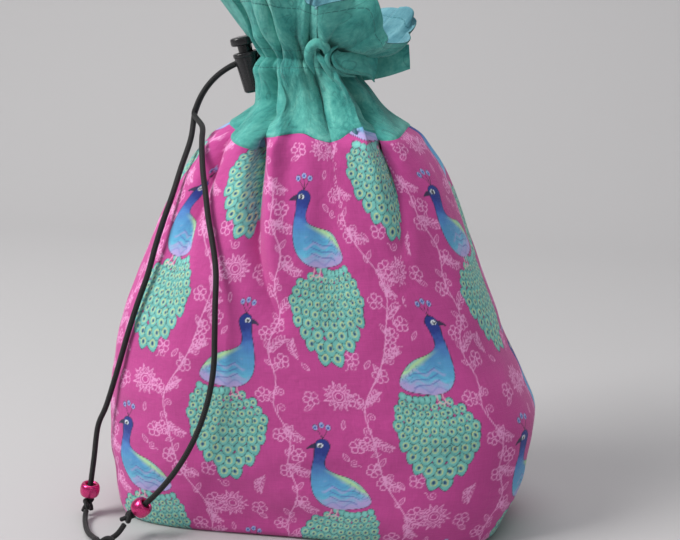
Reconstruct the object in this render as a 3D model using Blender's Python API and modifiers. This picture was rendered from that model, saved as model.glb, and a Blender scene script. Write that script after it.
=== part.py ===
"""Knitting project bag: boxed base, gathered drawstring neck, cord lock and beaded cord ends.

Row frame: metres, +Z up, +X right, -Y front, origin at the middle of the base on the ground.
"""
import bpy
import bmesh
import math
import numpy as np
from mathutils import Vector, Matrix

MM = 0.001

# ------------------------------------------------------------------ driving dimensions (mm, degrees)
Y0 = 3.0            # side and base seams run along this line
GAP = 0.2           # half of the space between the two halves

# z, half width, half depth, squareness, centre shift
WALL = np.array([
    (0.0, 86.5, 38.5, 4.5, 0.0), (18, 93, 43, 3.6, 2.4), (34, 95.6, 45.6, 3.25, 3.1),
    (50, 96.7, 47, 3.0, 3.6), (70, 92.5, 47.4, 2.8, 1.6), (90, 86, 47, 2.6, -1.0),
    (110, 79, 45.4, 2.45, -1.3), (130, 71.5, 43, 2.3, -1.2), (143, 66.6, 40.8, 2.25, -0.6),
    (155, 60.8, 38, 2.2, 0.2), (163, 55.6, 36.2, 2.15, 0.9), (170, 49.9, 34.5, 2.12, 1.5),
    (174.8, 45.9, 33.1, 2.1, 1.9)])
CUFF = np.array([
    (175.5, 45.4, 32.9, 2.1, 1.9), (180, 37.8, 28.8, 2.05, 2.4), (185, 30.4, 24.8, 2.0, 3.0),
    (190, 25.0, 21.2, 2.0, 3.6), (195, 22.4, 18.8, 2.0, 2.4), (201, 19.6, 17.2, 2.0, -0.4),
    (208, 18.0, 16.4, 2.0, -2.6), (213, 18.2, 16.6, 2.0, -2.6), (218, 20.0, 18.4, 2.0, -2.6),
    (226, 28.0, 26.2, 2.1, -2.1), (233, 37.0, 35.0, 2.2, -1.2), (240, 45.5, 42.5, 2.3, 0.0)])
RUN = (-2.6, 15.1, 13.5)                                  # cord ring in the casing: centre x, half axes
COLS = 13           # cloth facets across each half
CLOTH = 0.8         # outer cloth
FLEECE_NEAR, FLEECE_FAR = 1.3, 2.5
LINING_NEAR, LINING_FAR = 3.1, 3.8
CORD_R = 1.25       # drawcord radius
SPREAD = 1.42       # half the distance between the two cords where they run side by side
CASING_Z = 207.6    # middle of the drawcord casing
R_ARC = 33.0        # radius of the arc the two cords take through the lock
H0 = np.array([-28.6, 2.0, 206.6])                        # middle of the lock's cord hole
ARC2 = np.array([-137.46, -51.5, 94.57])                  # centre of the arc the right tail ends in
R2 = 106.22
BL = np.array([-98.2, -30.5, 12.8])                       # middle of the left bead
KNOT_DEPTH = 1.6    # how far the strands of a knot pass over and under each other, as a share of its size
KE = np.array([-80.0, -65.0, 3.55])                       # middle of the knot that joins the ends

for ob in list(bpy.data.objects):
    bpy.data.objects.remove(ob, do_unlink=True)

BAG = bpy.data.collections.new("knitting_bag")
bpy.context.scene.collection.children.link(BAG)
CUT = bpy.data.collections.new("cutters")
bpy.context.scene.collection.children.link(CUT)


# ------------------------------------------------------------------ materials
def material(name, rgb, rough, metal=0.0, sheen=0.0):
    m = bpy.data.materials.new(name)
    m.use_nodes = True
    p = m.node_tree.nodes["Principled BSDF"]
    p.inputs["Base Color"].default_value = (rgb[0], rgb[1], rgb[2], 1.0)
    p.inputs["Roughness"].default_value = rough
    p.inputs["Metallic"].default_value = metal
    p.inputs["Sheen Weight"].default_value = sheen
    m.diffuse_color = (rgb[0], rgb[1], rgb[2], 1.0)
    return m


def put(ob, mat, smooth=True):
    ob.data.materials.clear()
    ob.data.materials.append(mat)
    if ob.type == 'MESH':
        for poly in ob.data.polygons:
            poly.use_smooth = smooth
    for c in list(ob.users_collection):
        c.objects.unlink(ob)
    BAG.objects.link(ob)
    return ob


def as_cutter(ob):
    for c in list(ob.users_collection):
        c.objects.unlink(ob)
    CUT.objects.link(ob)
    ob.hide_render = True
    ob.display_type = 'WIRE'
    return ob


def mesh_object(name, verts, faces):
    me = bpy.data.meshes.new(name)
    me.from_pydata([tuple(float(c) * MM for c in v) for v in verts], [], faces)
    bm = bmesh.new()
    bm.from_mesh(me)
    bmesh.ops.recalc_face_normals(bm, faces=bm.faces)
    bm.to_mesh(me)
    bm.free()
    ob = bpy.data.objects.new(name, me)
    bpy.context.scene.collection.objects.link(ob)
    return ob


def cut(ob, cutter):
    mod = ob.modifiers.new("cut_" + cutter.name, 'BOOLEAN')
    mod.operation = 'DIFFERENCE'
    mod.solver = 'EXACT'
    mod.object = cutter


# ------------------------------------------------------------------ the cloth layers
def half_ring(a, b, n, cx, side, count):
    """Points of half a superellipse, left to right, on one side of the seam line."""
    th = np.linspace(0.0, 2.0 * math.pi, 2881)
    c, s = np.cos(th), np.sin(th)
    x = cx + a * np.sign(c) * np.abs(c) ** (2.0 / n)
    y = b * np.sign(s) * np.abs(s) ** (2.0 / n)
    lim = Y0 + side * GAP
    keep = (side * y) >= (side * lim)
    x, y = x[keep], y[keep]
    order = np.argsort(np.arctan2(side * (y - lim + side * 1e-6), x - cx))[::-1]
    x, y = x[order], y[order]
    xe = a * (1.0 - (abs(lim) / b) ** n) ** (1.0 / n)
    x = np.concatenate(([cx - xe], x, [cx + xe]))
    y = np.concatenate(([lim], y, [lim]))
    seg = np.hypot(np.diff(x), np.diff(y))
    ang = np.unwrap(np.arctan2(np.diff(y), np.diff(x)))
    turn = np.concatenate(([0.0], np.abs(np.diff(ang))))
    w = seg / seg.sum() + 0.9 * np.minimum(turn, 0.3) / max(np.minimum(turn, 0.3).sum(), 1e-9)
    t = np.concatenate(([0.0], np.cumsum(w)))
    t /= t[-1]
    u = np.linspace(0.0, 1.0, count + 1)
    return np.interp(u, t, x), np.interp(u, t, y)


def wall_rows(side, count):
    rows = []
    z0, a0, b0, n0, c0 = WALL[0]
    xr, yr = half_ring(a0 - 5.0, b0 - 5.0, n0, c0, side, count)
    lim = Y0 + side * GAP
    for k in (0.0, 0.5, 1.0):
        rows.append(np.stack([c0 + (xr - c0) * (1.0 - 0.035 * (1.0 - k)),
                              lim + (yr - lim) * k, np.zeros_like(xr)], axis=1))
    for dz, off in ((1.5, 1.6), (5.0, 0.0)):
        a, b, n, cx = [np.interp(dz, WALL[:, 0], WALL[:, i]) for i in (1, 2, 3, 4)]
        x, y = half_ring(a - off, b - off, n, cx, side, count)
        rows.append(np.stack([x, y, np.full_like(x, dz)], axis=1))
    for z, a, b, n, cx in WALL[1:]:
        x, y = half_ring(a, b, n, cx, side, count)
        rows.append(np.stack([x, y, np.full_like(x, z)], axis=1))
    return np.array(rows)


def cuff_rows(side, count):
    rows = []
    for z, a, b, n, cx in CUFF:
        x, y = half_ring(a, b, n, cx, side, count)
        rows.append(np.stack([x, y, np.full_like(x, z)], axis=1))
    return np.array(rows)


def normals(g, side, base):
    """Outward normals of a grid of rows, kept inside the seam plane along the two seam edges."""
    du = np.gradient(g, axis=1)
    dv = np.gradient(g, axis=0)
    n = np.cross(du, dv)
    ref = np.zeros_like(g)
    ref[..., 0] = g[..., 0]
    ref[..., 1] = g[..., 1]
    flip = np.sum(n[len(g) // 2] * ref[len(g) // 2], axis=1).sum() < 0
    if flip:
        n = -n
    n[:, 0, 1] = 0.0
    n[:, -1, 1] = 0.0
    if base:
        n[0] = (0.0, 0.0, -1.0)
        n[1] = (0.0, 0.0, -1.0)
        n[2, 1:-1] += (0.0, 0.0, 0.0)
    return n / np.linalg.norm(n, axis=2, keepdims=True)


def layer(name, g, nrm, near, far, mat):
    """A closed sheet between two distances inside the outer face."""
    out = g - nrm * near
    inn = g - nrm * far
    rows, cols = g.shape[0], g.shape[1]
    verts = list(out.reshape(-1, 3)) + list(inn.reshape(-1, 3))
    off = rows * cols
    faces = []
    for i in range(rows - 1):
        for j in range(cols - 1):
            p = i * cols + j
            faces.append((p, p + 1, p + cols + 1, p + cols))
            faces.append((off + p, off + p + cols, off + p + cols + 1, off + p + 1))
    for j in range(cols - 1):
        faces.append((j, off + j, off + j + 1, j + 1))
        p = (rows - 1) * cols + j
        faces.append((p, p + 1, off + p + 1, off + p))
    for i in range(rows - 1):
        p = i * cols
        faces.append((p, p + cols, off + p + cols, off + p))
        p = i * cols + cols - 1
        faces.append((p, off + p, off + p + cols, p + cols))
    return put(mesh_object(name, verts, faces), mat)


# ------------------------------------------------------------------ cords
def spline(points, step):
    """Smooth path through the points, sampled at about the given spacing (mm)."""
    p = np.array(points, dtype=float)
    t = np.concatenate(([0.0], np.cumsum(np.sqrt(np.linalg.norm(np.diff(p, axis=0), axis=1)))))
    ext = np.vstack([2 * p[0] - p[1], p, 2 * p[-1] - p[-2]])
    te = np.concatenate(([-t[1]], t, [2 * t[-1] - t[-2]]))
    out = []
    for i in range(len(p) - 1):
        p0, p1, p2, p3 = ext[i], ext[i + 1], ext[i + 2], ext[i + 3]
        t0, t1, t2, t3 = te[i], te[i + 1], te[i + 2], te[i + 3]
        m = max(1, int(round(np.linalg.norm(p2 - p1) / step)))
        for k in range(m):
            s = t1 + (t2 - t1) * k / m
            a1 = p0 * (t1 - s) / (t1 - t0) + p1 * (s - t0) / (t1 - t0)
            a2 = p1 * (t2 - s) / (t2 - t1) + p2 * (s - t1) / (t2 - t1)
            a3 = p2 * (t3 - s) / (t3 - t2) + p3 * (s - t2) / (t3 - t2)
            b1 = a1 * (t2 - s) / (t2 - t0) + a2 * (s - t0) / (t2 - t0)
            b2 = a2 * (t3 - s) / (t3 - t1) + a3 * (s - t1) / (t3 - t1)
            out.append(b1 * (t2 - s) / (t2 - t1) + b2 * (s - t1) / (t2 - t1))
    out.append(p[-1])
    return np.array(out)


def tube(name, path, radius, mat, resolution=2):
    cu = bpy.data.curves.new(name, 'CURVE')
    cu.dimensions = '3D'
    cu.bevel_depth = radius * MM
    cu.bevel_resolution = resolution
    cu.use_fill_caps = True
    sp = cu.splines.new('POLY')
    sp.points.add(len(path) - 1)
    for i, q in enumerate(path):
        sp.points[i].co = (q[0] * MM, q[1] * MM, q[2] * MM, 1.0)
    ob = bpy.data.objects.new(name, cu)
    bpy.context.scene.collection.objects.link(ob)
    bpy.context.view_layer.update()
    dg = bpy.context.evaluated_depsgraph_get()
    me = bpy.data.meshes.new_from_object(ob.evaluated_get(dg))
    me.name = name
    bm = bmesh.new()
    bm.from_mesh(me)
    bmesh.ops.remove_doubles(bm, verts=bm.verts, dist=1e-6)
    bmesh.ops.recalc_face_normals(bm, faces=bm.faces)
    bm.to_mesh(me)
    bm.free()
    mw = ob.matrix_world.copy()
    bpy.data.objects.remove(ob, do_unlink=True)
    bpy.data.curves.remove(cu)
    new = bpy.data.objects.new(name, me)
    bpy.context.scene.collection.objects.link(new)
    new.matrix_world = mw
    return put(new, mat)


def overhand(centre, along, up, scale, radius, name, mat):
    """A cord tied once round itself, its two ends leaving past each other."""
    t = np.linspace(math.pi + 0.72, 3.0 * math.pi - 0.72, 34)
    k = np.stack([np.sin(t) + 2 * np.sin(2 * t), np.cos(t) - 2 * np.cos(2 * t), -KNOT_DEPTH * np.sin(3 * t)], axis=1)
    first = k[0] + (k[0] - k[1]) / np.linalg.norm(k[0] - k[1]) * 1.0
    last = k[-1] + (k[-1] - k[-2]) / np.linalg.norm(k[-1] - k[-2]) * 1.0
    k = np.vstack([first, k, last]) * scale
    f = Vector(along).normalized()
    r = Vector(up).cross(f).normalized()
    u = f.cross(r).normalized()
    fr = np.array([list(u), list(f), list(r)])
    path = k @ fr + np.array(centre)
    return tube(name, path, radius, mat, 1)


TEAL = material("teal_batik_cotton", (0.07, 0.30, 0.28), 0.85, 0.0, 0.3)
PINK = material("magenta_print_cotton", (0.60, 0.13, 0.42), 0.85, 0.0, 0.3)
BLUE = material("pale_blue_lining", (0.33, 0.60, 0.70), 0.85, 0.0, 0.3)
FLEECE = material("white_fleece_interlining", (0.80, 0.79, 0.76), 0.95, 0.0, 0.4)
CORD = material("black_braided_cord", (0.012, 0.012, 0.013), 0.55, 0.0, 0.2)
LOCK = material("black_lock_plastic", (0.015, 0.015, 0.017), 0.30)
STEEL = material("spring_steel", (0.55, 0.55, 0.56), 0.30, 1.0)
BEAD_L = material("metallic_pink_bead_left", (0.62, 0.02, 0.16), 0.28, 0.6)
BEAD_R = material("metallic_pink_bead_right", (0.62, 0.02, 0.16), 0.28, 0.6)

# ------------------------------------------------------------------ body and cuffs
for side, tag in ((-1.0, "front"), (1.0, "back")):
    g = wall_rows(side, COLS)
    gc = cuff_rows(side, COLS)
    both = normals(np.concatenate([g, gc]), side, True)
    m = len(g)
    joint = both[m - 1] + both[m]
    joint[:, 2] = 0.0           # every layer's edge along the seam lies level
    joint /= np.linalg.norm(joint, axis=1, keepdims=True)
    both[m - 1] = joint
    both[m] = joint
    n, nc = both[:m], both[m:]
    layer("outer_" + tag, g, n, 0.0, CLOTH, PINK)
    layer("interlining_" + tag, g[:-1], n[:-1], FLEECE_NEAR, FLEECE_FAR, FLEECE)
    layer("lining_" + tag, g, n, LINING_NEAR, LINING_FAR, BLUE)
    layer("cuff_" + tag, gc, nc, 0.0, CLOTH, TEAL)
    # the lining stands off round the cord and comes back to the outer cloth below and above it
    zc = CUFF[:, 0]
    stand = np.interp(zc, [175.5, 190, 201, 208, 213, 218, 226, 240], [3.1, 3.1, 4.3, 4.4, 4.3, 2.2, 1.3, 1.3])
    layer("cuff_lining_" + tag, gc - nc * stand[:, None, None], nc, 0.0, 0.7, BLUE)

# ------------------------------------------------------------------ cord path
BETA = math.radians(8.0)
H = np.array([-math.cos(BETA), -math.sin(BETA), 0.0])     # away from the neck
Z = np.array([0.0, 0.0, 1.0])
Q = np.array([math.sin(BETA), -math.cos(BETA), 0.0])      # across the two cords, towards the front
TH0 = math.radians(14.0)
ARC_C = H0 - R_ARC * (math.sin(TH0) * H + math.cos(TH0) * Z)


def arc(th):
    return ARC_C + R_ARC * (math.sin(th) * H + math.cos(th) * Z)


lead = [arc(math.radians(a)) for a in np.linspace(-1.0, 70.0, 17)]
tube("drawcord_lead_a", [p + Q * SPREAD for p in lead], CORD_R, CORD)
tube("drawcord_lead_b", [p - Q * SPREAD for p in lead], CORD_R, CORD)

# the slit in the side seam where the two cords come out
bpy.ops.mesh.primitive_cube_add(size=1.0, location=(-21.0 * MM, (Y0 + 0.1) * MM, 206.3 * MM))
slit = bpy.context.active_object
slit.name = "cut_cord_slit"
slit.scale = (9.0 * MM, 6.4 * MM, 7.6 * MM)
as_cutter(slit)
for tag in ("front", "back"):
    cut(bpy.data.objects["cuff_" + tag], slit)

# half loops in the casing
for side, tag in ((-1.0, "front"), (1.0, "back")):
    span = (8.0, 160.0, 15) if side < 0 else (24.0, 146.0, 13)
    run = [(RUN[0] + RUN[1] * math.cos(math.radians(ad)), side * RUN[2] * math.sin(math.radians(ad)), CASING_Z)
           for ad in np.linspace(*span)]
    tube("drawcord_run_" + tag, run, CORD_R, CORD)

# tails: from the end of the common arc down to the knots
end_t = arc(math.radians(70.0))
tan_t = math.cos(math.radians(70.0)) * H - math.sin(math.radians(70.0)) * Z
L0 = end_t - Q * SPREAD + tan_t * 0.4
R0 = end_t + Q * SPREAD + tan_t * 0.4
DL = np.array([0.164, 0.021, 0.986])
DL /= np.linalg.norm(DL)
KL = BL - DL * 7.6
left_pts = [L0, L0 + tan_t * 3.0, (-52.2, -8.5, 173.0), (-54.2, -18.0, 161.2), (-56.4, -25.0, 150.0),
            (-59.7, -28.7, 139.2), (-62.9, -31.0, 128.1), (-65.9, -32.8, 116.8), (-70.5, -34.0, 104.2),
            (-75.0, -34.4, 91.4), (-78.8, -34.0, 80.0), (-82.8, -33.2, 68.4), (-88.6, -31.0, 53.5),
            BL + DL * 32.0, BL + DL * 15.0, BL, BL - DL * 3.4]
tube("drawcord_tail_left", spline(left_pts, 4.5), CORD_R, CORD)



def arc2(deg):
    t = math.radians(deg)
    return ARC2 + R2 * np.array([math.cos(t), 0.0, math.sin(t)])


right_pts = [R0, R0 + tan_t * 2.5, (-45.7, -12.5, 178.6), (-44.1, -19.0, 174.3), (-42.8, -24.0, 169.9),
             (-40.4, -31.0, 161.2), (-38.3, -35.3, 153.9), (-36.4, -39.2, 145.3), (-34.1, -42.5, 136.6),
             (-32.3, -45.0, 129.1), (-31.2, -47.2, 121.9), (-31.0, -50.2, 109.0)]
right_pts += [arc2(a) for a in (0.0, -5.0, -10.0, -15.0, -20.0, -25.0, -30.0, -35.0, -40.0, -45.0, -49.9)]
tube("drawcord_tail_right", spline(right_pts, 4.5), CORD_R, CORD)
BR = arc2(-48.0)
tr = math.radians(-48.0)
DR = np.array([-math.sin(tr), 0.0, math.cos(tr)])
KR = arc2(-52.2)

# ------------------------------------------------------------------ beads
def bead(name, centre, direction, mat):
    prof = [(2.05, 2.6), (2.35, 3.1), (3.1, 3.1), (4.0, 2.6), (4.42, 1.4), (4.5, 0.0),
            (4.42, -1.4), (4.0, -2.6), (3.1, -3.1), (2.35, -3.1), (2.05, -2.6)]
    me = bpy.data.meshes.new(name)
    ring = [(r * MM, 0.0, z * MM) for r, z in prof]
    n = len(ring)
    me.from_pydata(ring, [(i, (i + 1) % n) for i in range(n)], [])
    ob = bpy.data.objects.new(name, me)
    bpy.context.scene.collection.objects.link(ob)
    sc = ob.modifiers.new("turn", 'SCREW')
    sc.axis = 'Z'
    sc.steps = 20
    sc.render_steps = 20
    sc.use_merge_vertices = True
    sc.merge_threshold = 0.00001
    sc.use_smooth_shade = True
    z = Vector(direction).normalized()
    ob.rotation_mode = 'QUATERNION'
    ob.rotation_quaternion = z.to_track_quat('Z', 'Y')
    ob.location = Vector(centre) * MM
    return put(ob, mat)


bead("bead_left", BL, DL, BEAD_L)
bead("bead_right", BR, DR, BEAD_R)

# ------------------------------------------------------------------ knots and ends
overhand(KL, DL, (0.0, -1.0, 0.0), 1.15, 0.80, "knot_left", CORD)
overhand(KR, DR, (0.0, -1.0, 0.0), 1.15, 0.80, "knot_right", CORD)
overhand(KE, (0.2, 1.0, 0.0), (1.0, 0.0, 0.0), 1.5, 1.05, "end_knot", CORD)
tube("cord_end_left", spline([(-98.6, -35.6, 3.2), (-96.6, -42.0, 1.7), (-91.5, -51.5, 1.6), (-86.4, -57.6, 2.4)], 3.0),
     1.15, CORD)
tube("cord_end_right", spline([(-73.6, -56.4, 8.0), (-75.0, -57.8, 5.8), (-76.6, -58.9, 4.4)], 1.6), 1.15, CORD)
tube("cord_tip_left", spline([(-84.6, -71.0, 2.2), (-87.5, -75.5, 1.5), (-91.5, -79.0, 1.35)], 3.0), 1.25, CORD)
tube("cord_tip_right", spline([(-78.3, -71.6, 2.2), (-76.5, -76.5, 1.5), (-76.8, -82.0, 1.35)], 3.0), 1.25, CORD)

# ------------------------------------------------------------------ cord lock
TILT = math.radians(12.0)
UX = Vector(H) * math.cos(TILT) - Vector(Z) * math.sin(TILT)    # along the cords
UZ = Vector(Z) * math.cos(TILT) + Vector(H) * math.sin(TILT)    # up the lock
UY = UZ.cross(UX)
LOCK_M = Matrix(((UX.x, UY.x, UZ.x, H0[0] * MM), (UX.y, UY.y, UZ.y, H0[1] * MM),
                 (UX.z, UY.z, UZ.z, H0[2] * MM), (0.0, 0.0, 0.0, 1.0)))


def oval_stack(name, rows, count=28):
    """Loft through oval sections given as height, half length, half width, squareness."""
    verts, faces = [], []
    for z, a, b, n in rows:
        for k in range(count):
            th = 2.0 * math.pi * (k + 0.5) / count
            c, s = math.cos(th), math.sin(th)
            verts.append((a * math.copysign(abs(c) ** (2.0 / n), c), b * math.copysign(abs(s) ** (2.0 / n), s), z))
    m = len(rows)
    for i in range(m - 1):
        for k in range(count):
            j = (k + 1) % count
            faces.append((i * count + k, i * count + j, (i + 1) * count + j, (i + 1) * count + k))
    faces.append(tuple(reversed(range(count))))
    faces.append(tuple((m - 1) * count + k for k in range(count)))
    return mesh_object(name, verts, faces)


barrel = oval_stack("lock_barrel", [(-14.0, 3.2, 5.0, 2.6), (-13.6, 3.9, 5.7, 2.6), (-12.6, 4.4, 6.2, 2.6),
                                    (-4.0, 5.3, 7.1, 2.7), (2.6, 5.5, 7.3, 2.7), (3.2, 5.3, 7.1, 2.7),
                                    (3.5, 4.9, 6.7, 2.7)])
barrel.matrix_world = LOCK_M
put(barrel, LOCK)
bore = as_cutter(oval_stack("cut_lock_bore", [(-12.0, 3.05, 4.6, 2.6), (-9.0, 3.6, 5.1, 2.6), (8.0, 3.6, 5.1, 2.6)]))
bore.matrix_world = LOCK_M
hole = as_cutter(oval_stack("cut_lock_hole", [(-12.0, 2.25, 3.25, 4.0), (12.0, 2.25, 3.25, 4.0)], 24))
hole.matrix_world = LOCK_M @ Matrix.Rotation(math.radians(90.0), 4, 'Y')
cut(barrel, bore)
cut(barrel, hole)

plunger = oval_stack("lock_plunger", [(-6.2, 2.8, 4.3, 2.6), (-5.8, 3.1, 4.6, 2.6), (6.8, 3.1, 4.6, 2.6),
                                      (6.9, 5.0, 6.6, 2.7), (7.4, 5.5, 7.1, 2.7), (9.4, 5.6, 7.2, 2.7),
                                      (10.1, 5.1, 6.7, 2.7), (10.3, 4.4, 6.0, 2.7)])
plunger.matrix_world = LOCK_M
put(plunger, LOCK)
phole = as_cutter(oval_stack("cut_plunger_hole", [(-12.0, 3.75, 3.1, 4.0), (12.0, 3.75, 3.1, 4.0)], 24))
phole.matrix_world = LOCK_M @ Matrix.Translation((0.0, 0.0, 1.5 * MM)) @ Matrix.Rotation(math.radians(90.0), 4, 'Y')
cut(plunger, phole)

coil = []
for k in range(46):
    th = 2.0 * math.pi * 3.5 * k / 45.0
    coil.append((2.15 * math.cos(th), 2.15 * math.sin(th), -11.3 + 4.4 * k / 45.0))
spring = tube("lock_spring", coil, 0.3, STEEL, 1)
spring.matrix_world = LOCK_M

# ------------------------------------------------------------------ moving groups
def pivot(name, where, children, parent=None):
    """An empty on the joint's axis that carries the moving group."""
    e = bpy.data.objects.new(name, None)
    e.empty_display_size = 0.01
    e.location = Vector(where) * MM
    BAG.objects.link(e)
    bpy.context.view_layer.update()
    if parent is not None:
        e.parent = parent
        e.matrix_parent_inverse = parent.matrix_world.inverted()
        bpy.context.view_layer.update()
    for ch in children:
        ob = bpy.data.objects[ch]
        ob.parent = e
        ob.matrix_parent_inverse = e.matrix_world.inverted()
    bpy.context.view_layer.update()
    return e


bpy.context.view_layer.update()
pivot("pivot_mouth_front", (0.0, -33.0, 175.0), ["cuff_front", "cuff_lining_front", "drawcord_run_front"])
pivot("pivot_mouth_back", (0.0, 33.0, 175.0), ["cuff_back", "cuff_lining_back", "drawcord_run_back"])
lockp = pivot("pivot_lock_travel", ARC_C, ["lock_barrel", "lock_spring"])
pivot("pivot_plunger_press", H0, ["lock_plunger"], lockp)
ends = pivot("pivot_cord_draw", KL, ["knot_left", "knot_right", "end_knot", "cord_end_left", "cord_end_right",
                                     "cord_tip_left", "cord_tip_right"])
pivot("pivot_bead_left", BL, ["bead_left"], ends)
pivot("pivot_bead_right", ARC2, ["bead_right"], ends)
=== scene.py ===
import math
import bpy
import numpy as np
from mathutils import Vector, Matrix


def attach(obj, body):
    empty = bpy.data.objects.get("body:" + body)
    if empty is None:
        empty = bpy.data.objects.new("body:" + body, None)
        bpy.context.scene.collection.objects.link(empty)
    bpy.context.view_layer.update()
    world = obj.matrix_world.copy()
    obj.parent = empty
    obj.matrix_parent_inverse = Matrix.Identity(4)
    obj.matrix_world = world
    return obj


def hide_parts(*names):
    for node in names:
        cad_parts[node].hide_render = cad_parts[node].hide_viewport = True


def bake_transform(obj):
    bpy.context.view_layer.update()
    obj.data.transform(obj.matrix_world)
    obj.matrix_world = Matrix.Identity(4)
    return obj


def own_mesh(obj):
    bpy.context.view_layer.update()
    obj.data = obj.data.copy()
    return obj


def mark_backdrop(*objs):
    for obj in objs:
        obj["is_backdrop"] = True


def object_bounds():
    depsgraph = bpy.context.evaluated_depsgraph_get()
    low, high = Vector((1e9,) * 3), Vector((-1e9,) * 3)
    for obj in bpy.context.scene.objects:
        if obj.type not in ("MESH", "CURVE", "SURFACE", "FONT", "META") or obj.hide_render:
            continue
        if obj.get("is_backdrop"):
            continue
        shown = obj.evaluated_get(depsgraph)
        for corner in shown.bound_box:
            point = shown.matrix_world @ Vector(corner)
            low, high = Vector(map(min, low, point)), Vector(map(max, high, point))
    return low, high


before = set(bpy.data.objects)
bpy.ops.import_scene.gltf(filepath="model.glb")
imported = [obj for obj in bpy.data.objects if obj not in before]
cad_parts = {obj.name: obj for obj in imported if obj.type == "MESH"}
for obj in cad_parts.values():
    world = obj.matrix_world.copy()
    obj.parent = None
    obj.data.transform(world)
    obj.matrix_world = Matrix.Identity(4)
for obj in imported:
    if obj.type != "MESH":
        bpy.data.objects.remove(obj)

CAD_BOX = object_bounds()
M = 0.001
PI = math.pi


# =====================================================================================
# small helpers
# =====================================================================================
def hermite(xq, xp, fp):
    """Smooth curve through a table, with no overshoot between its points."""
    xp = np.asarray(xp, float)
    fp = np.asarray(fp, float)
    h = np.diff(xp)
    d = np.diff(fp) / h
    m = np.zeros(len(xp))
    m[0], m[-1] = d[0], d[-1]
    for i in range(1, len(xp) - 1):
        if d[i - 1] * d[i] > 0:
            w1, w2 = 2 * h[i] + h[i - 1], h[i] + 2 * h[i - 1]
            m[i] = (w1 + w2) / (w1 / d[i - 1] + w2 / d[i])
    xq = np.clip(np.asarray(xq, float), xp[0], xp[-1])
    i = np.clip(np.searchsorted(xp, xq, side="right") - 1, 0, len(h) - 1)
    t = (xq - xp[i]) / h[i]
    return ((1 + 2 * t) * (1 - t) ** 2 * fp[i] + t * (1 - t) ** 2 * h[i] * m[i]
            + t * t * (3 - 2 * t) * fp[i + 1] + t * t * (t - 1) * h[i] * m[i + 1])


def periodic(xq, xp, fp, period=360.0):
    """Smooth periodic curve through a table (Catmull-Rom)."""
    xp = np.asarray(xp, float)
    fp = np.asarray(fp, float)
    xx = np.concatenate([xp[-2:] - period, xp, xp[:3] + period])
    ff = np.concatenate([fp[-2:], fp, fp[:3]])
    xq = (np.asarray(xq, float) - xp[0]) % period + xp[0]
    i = np.clip(np.searchsorted(xx, xq, side="right") - 1, 1, len(xx) - 3)
    h = xx[i + 1] - xx[i]
    t = (xq - xx[i]) / h
    m0 = (ff[i + 1] - ff[i - 1]) / (xx[i + 1] - xx[i - 1]) * h
    m1 = (ff[i + 2] - ff[i]) / (xx[i + 2] - xx[i]) * h
    return ((1 + 2 * t) * (1 - t) ** 2 * ff[i] + t * (1 - t) ** 2 * m0
            + t * t * (3 - 2 * t) * ff[i + 1] + t * t * (t - 1) * m1)


def smooth(x, a, b):
    t = np.clip((np.asarray(x, float) - a) / (b - a), 0, 1)
    return t * t * (3 - 2 * t)


RNG = np.random.RandomState(7)


def value_noise(x, y, seed, px=None):
    """Smooth noise in -1..1. px is the repeat along x, in cells."""
    r = np.random.RandomState(seed)
    n = 64
    g = r.uniform(-1, 1, (n, n))
    xi, yi = np.floor(x).astype(int), np.floor(y).astype(int)
    fx, fy = x - xi, y - yi
    fx = fx * fx * fx * (fx * (fx * 6 - 15) + 10)
    fy = fy * fy * fy * (fy * (fy * 6 - 15) + 10)
    if px:
        x0, x1 = xi % px, (xi + 1) % px
    else:
        x0, x1 = xi % n, (xi + 1) % n
    y0, y1 = yi % n, (yi + 1) % n
    return ((g[x0, y0] * (1 - fx) + g[x1, y0] * fx) * (1 - fy)
            + (g[x0, y1] * (1 - fx) + g[x1, y1] * fx) * fy)


def link(ob):
    bpy.context.scene.collection.objects.link(ob)
    return ob


def grid_faces(rows, cols, wrap, start=0, flip=False):
    i = np.arange(rows - 1)[:, None]
    j = np.arange(cols if wrap else cols - 1)[None, :]
    a = i * cols + j
    b = i * cols + (j + 1) % cols
    c = (i + 1) * cols + (j + 1) % cols
    d = (i + 1) * cols + j
    q = np.stack([a, b, c, d], axis=-1).reshape(-1, 4)
    if flip:
        q = q[:, ::-1]
    return q + start


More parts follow.
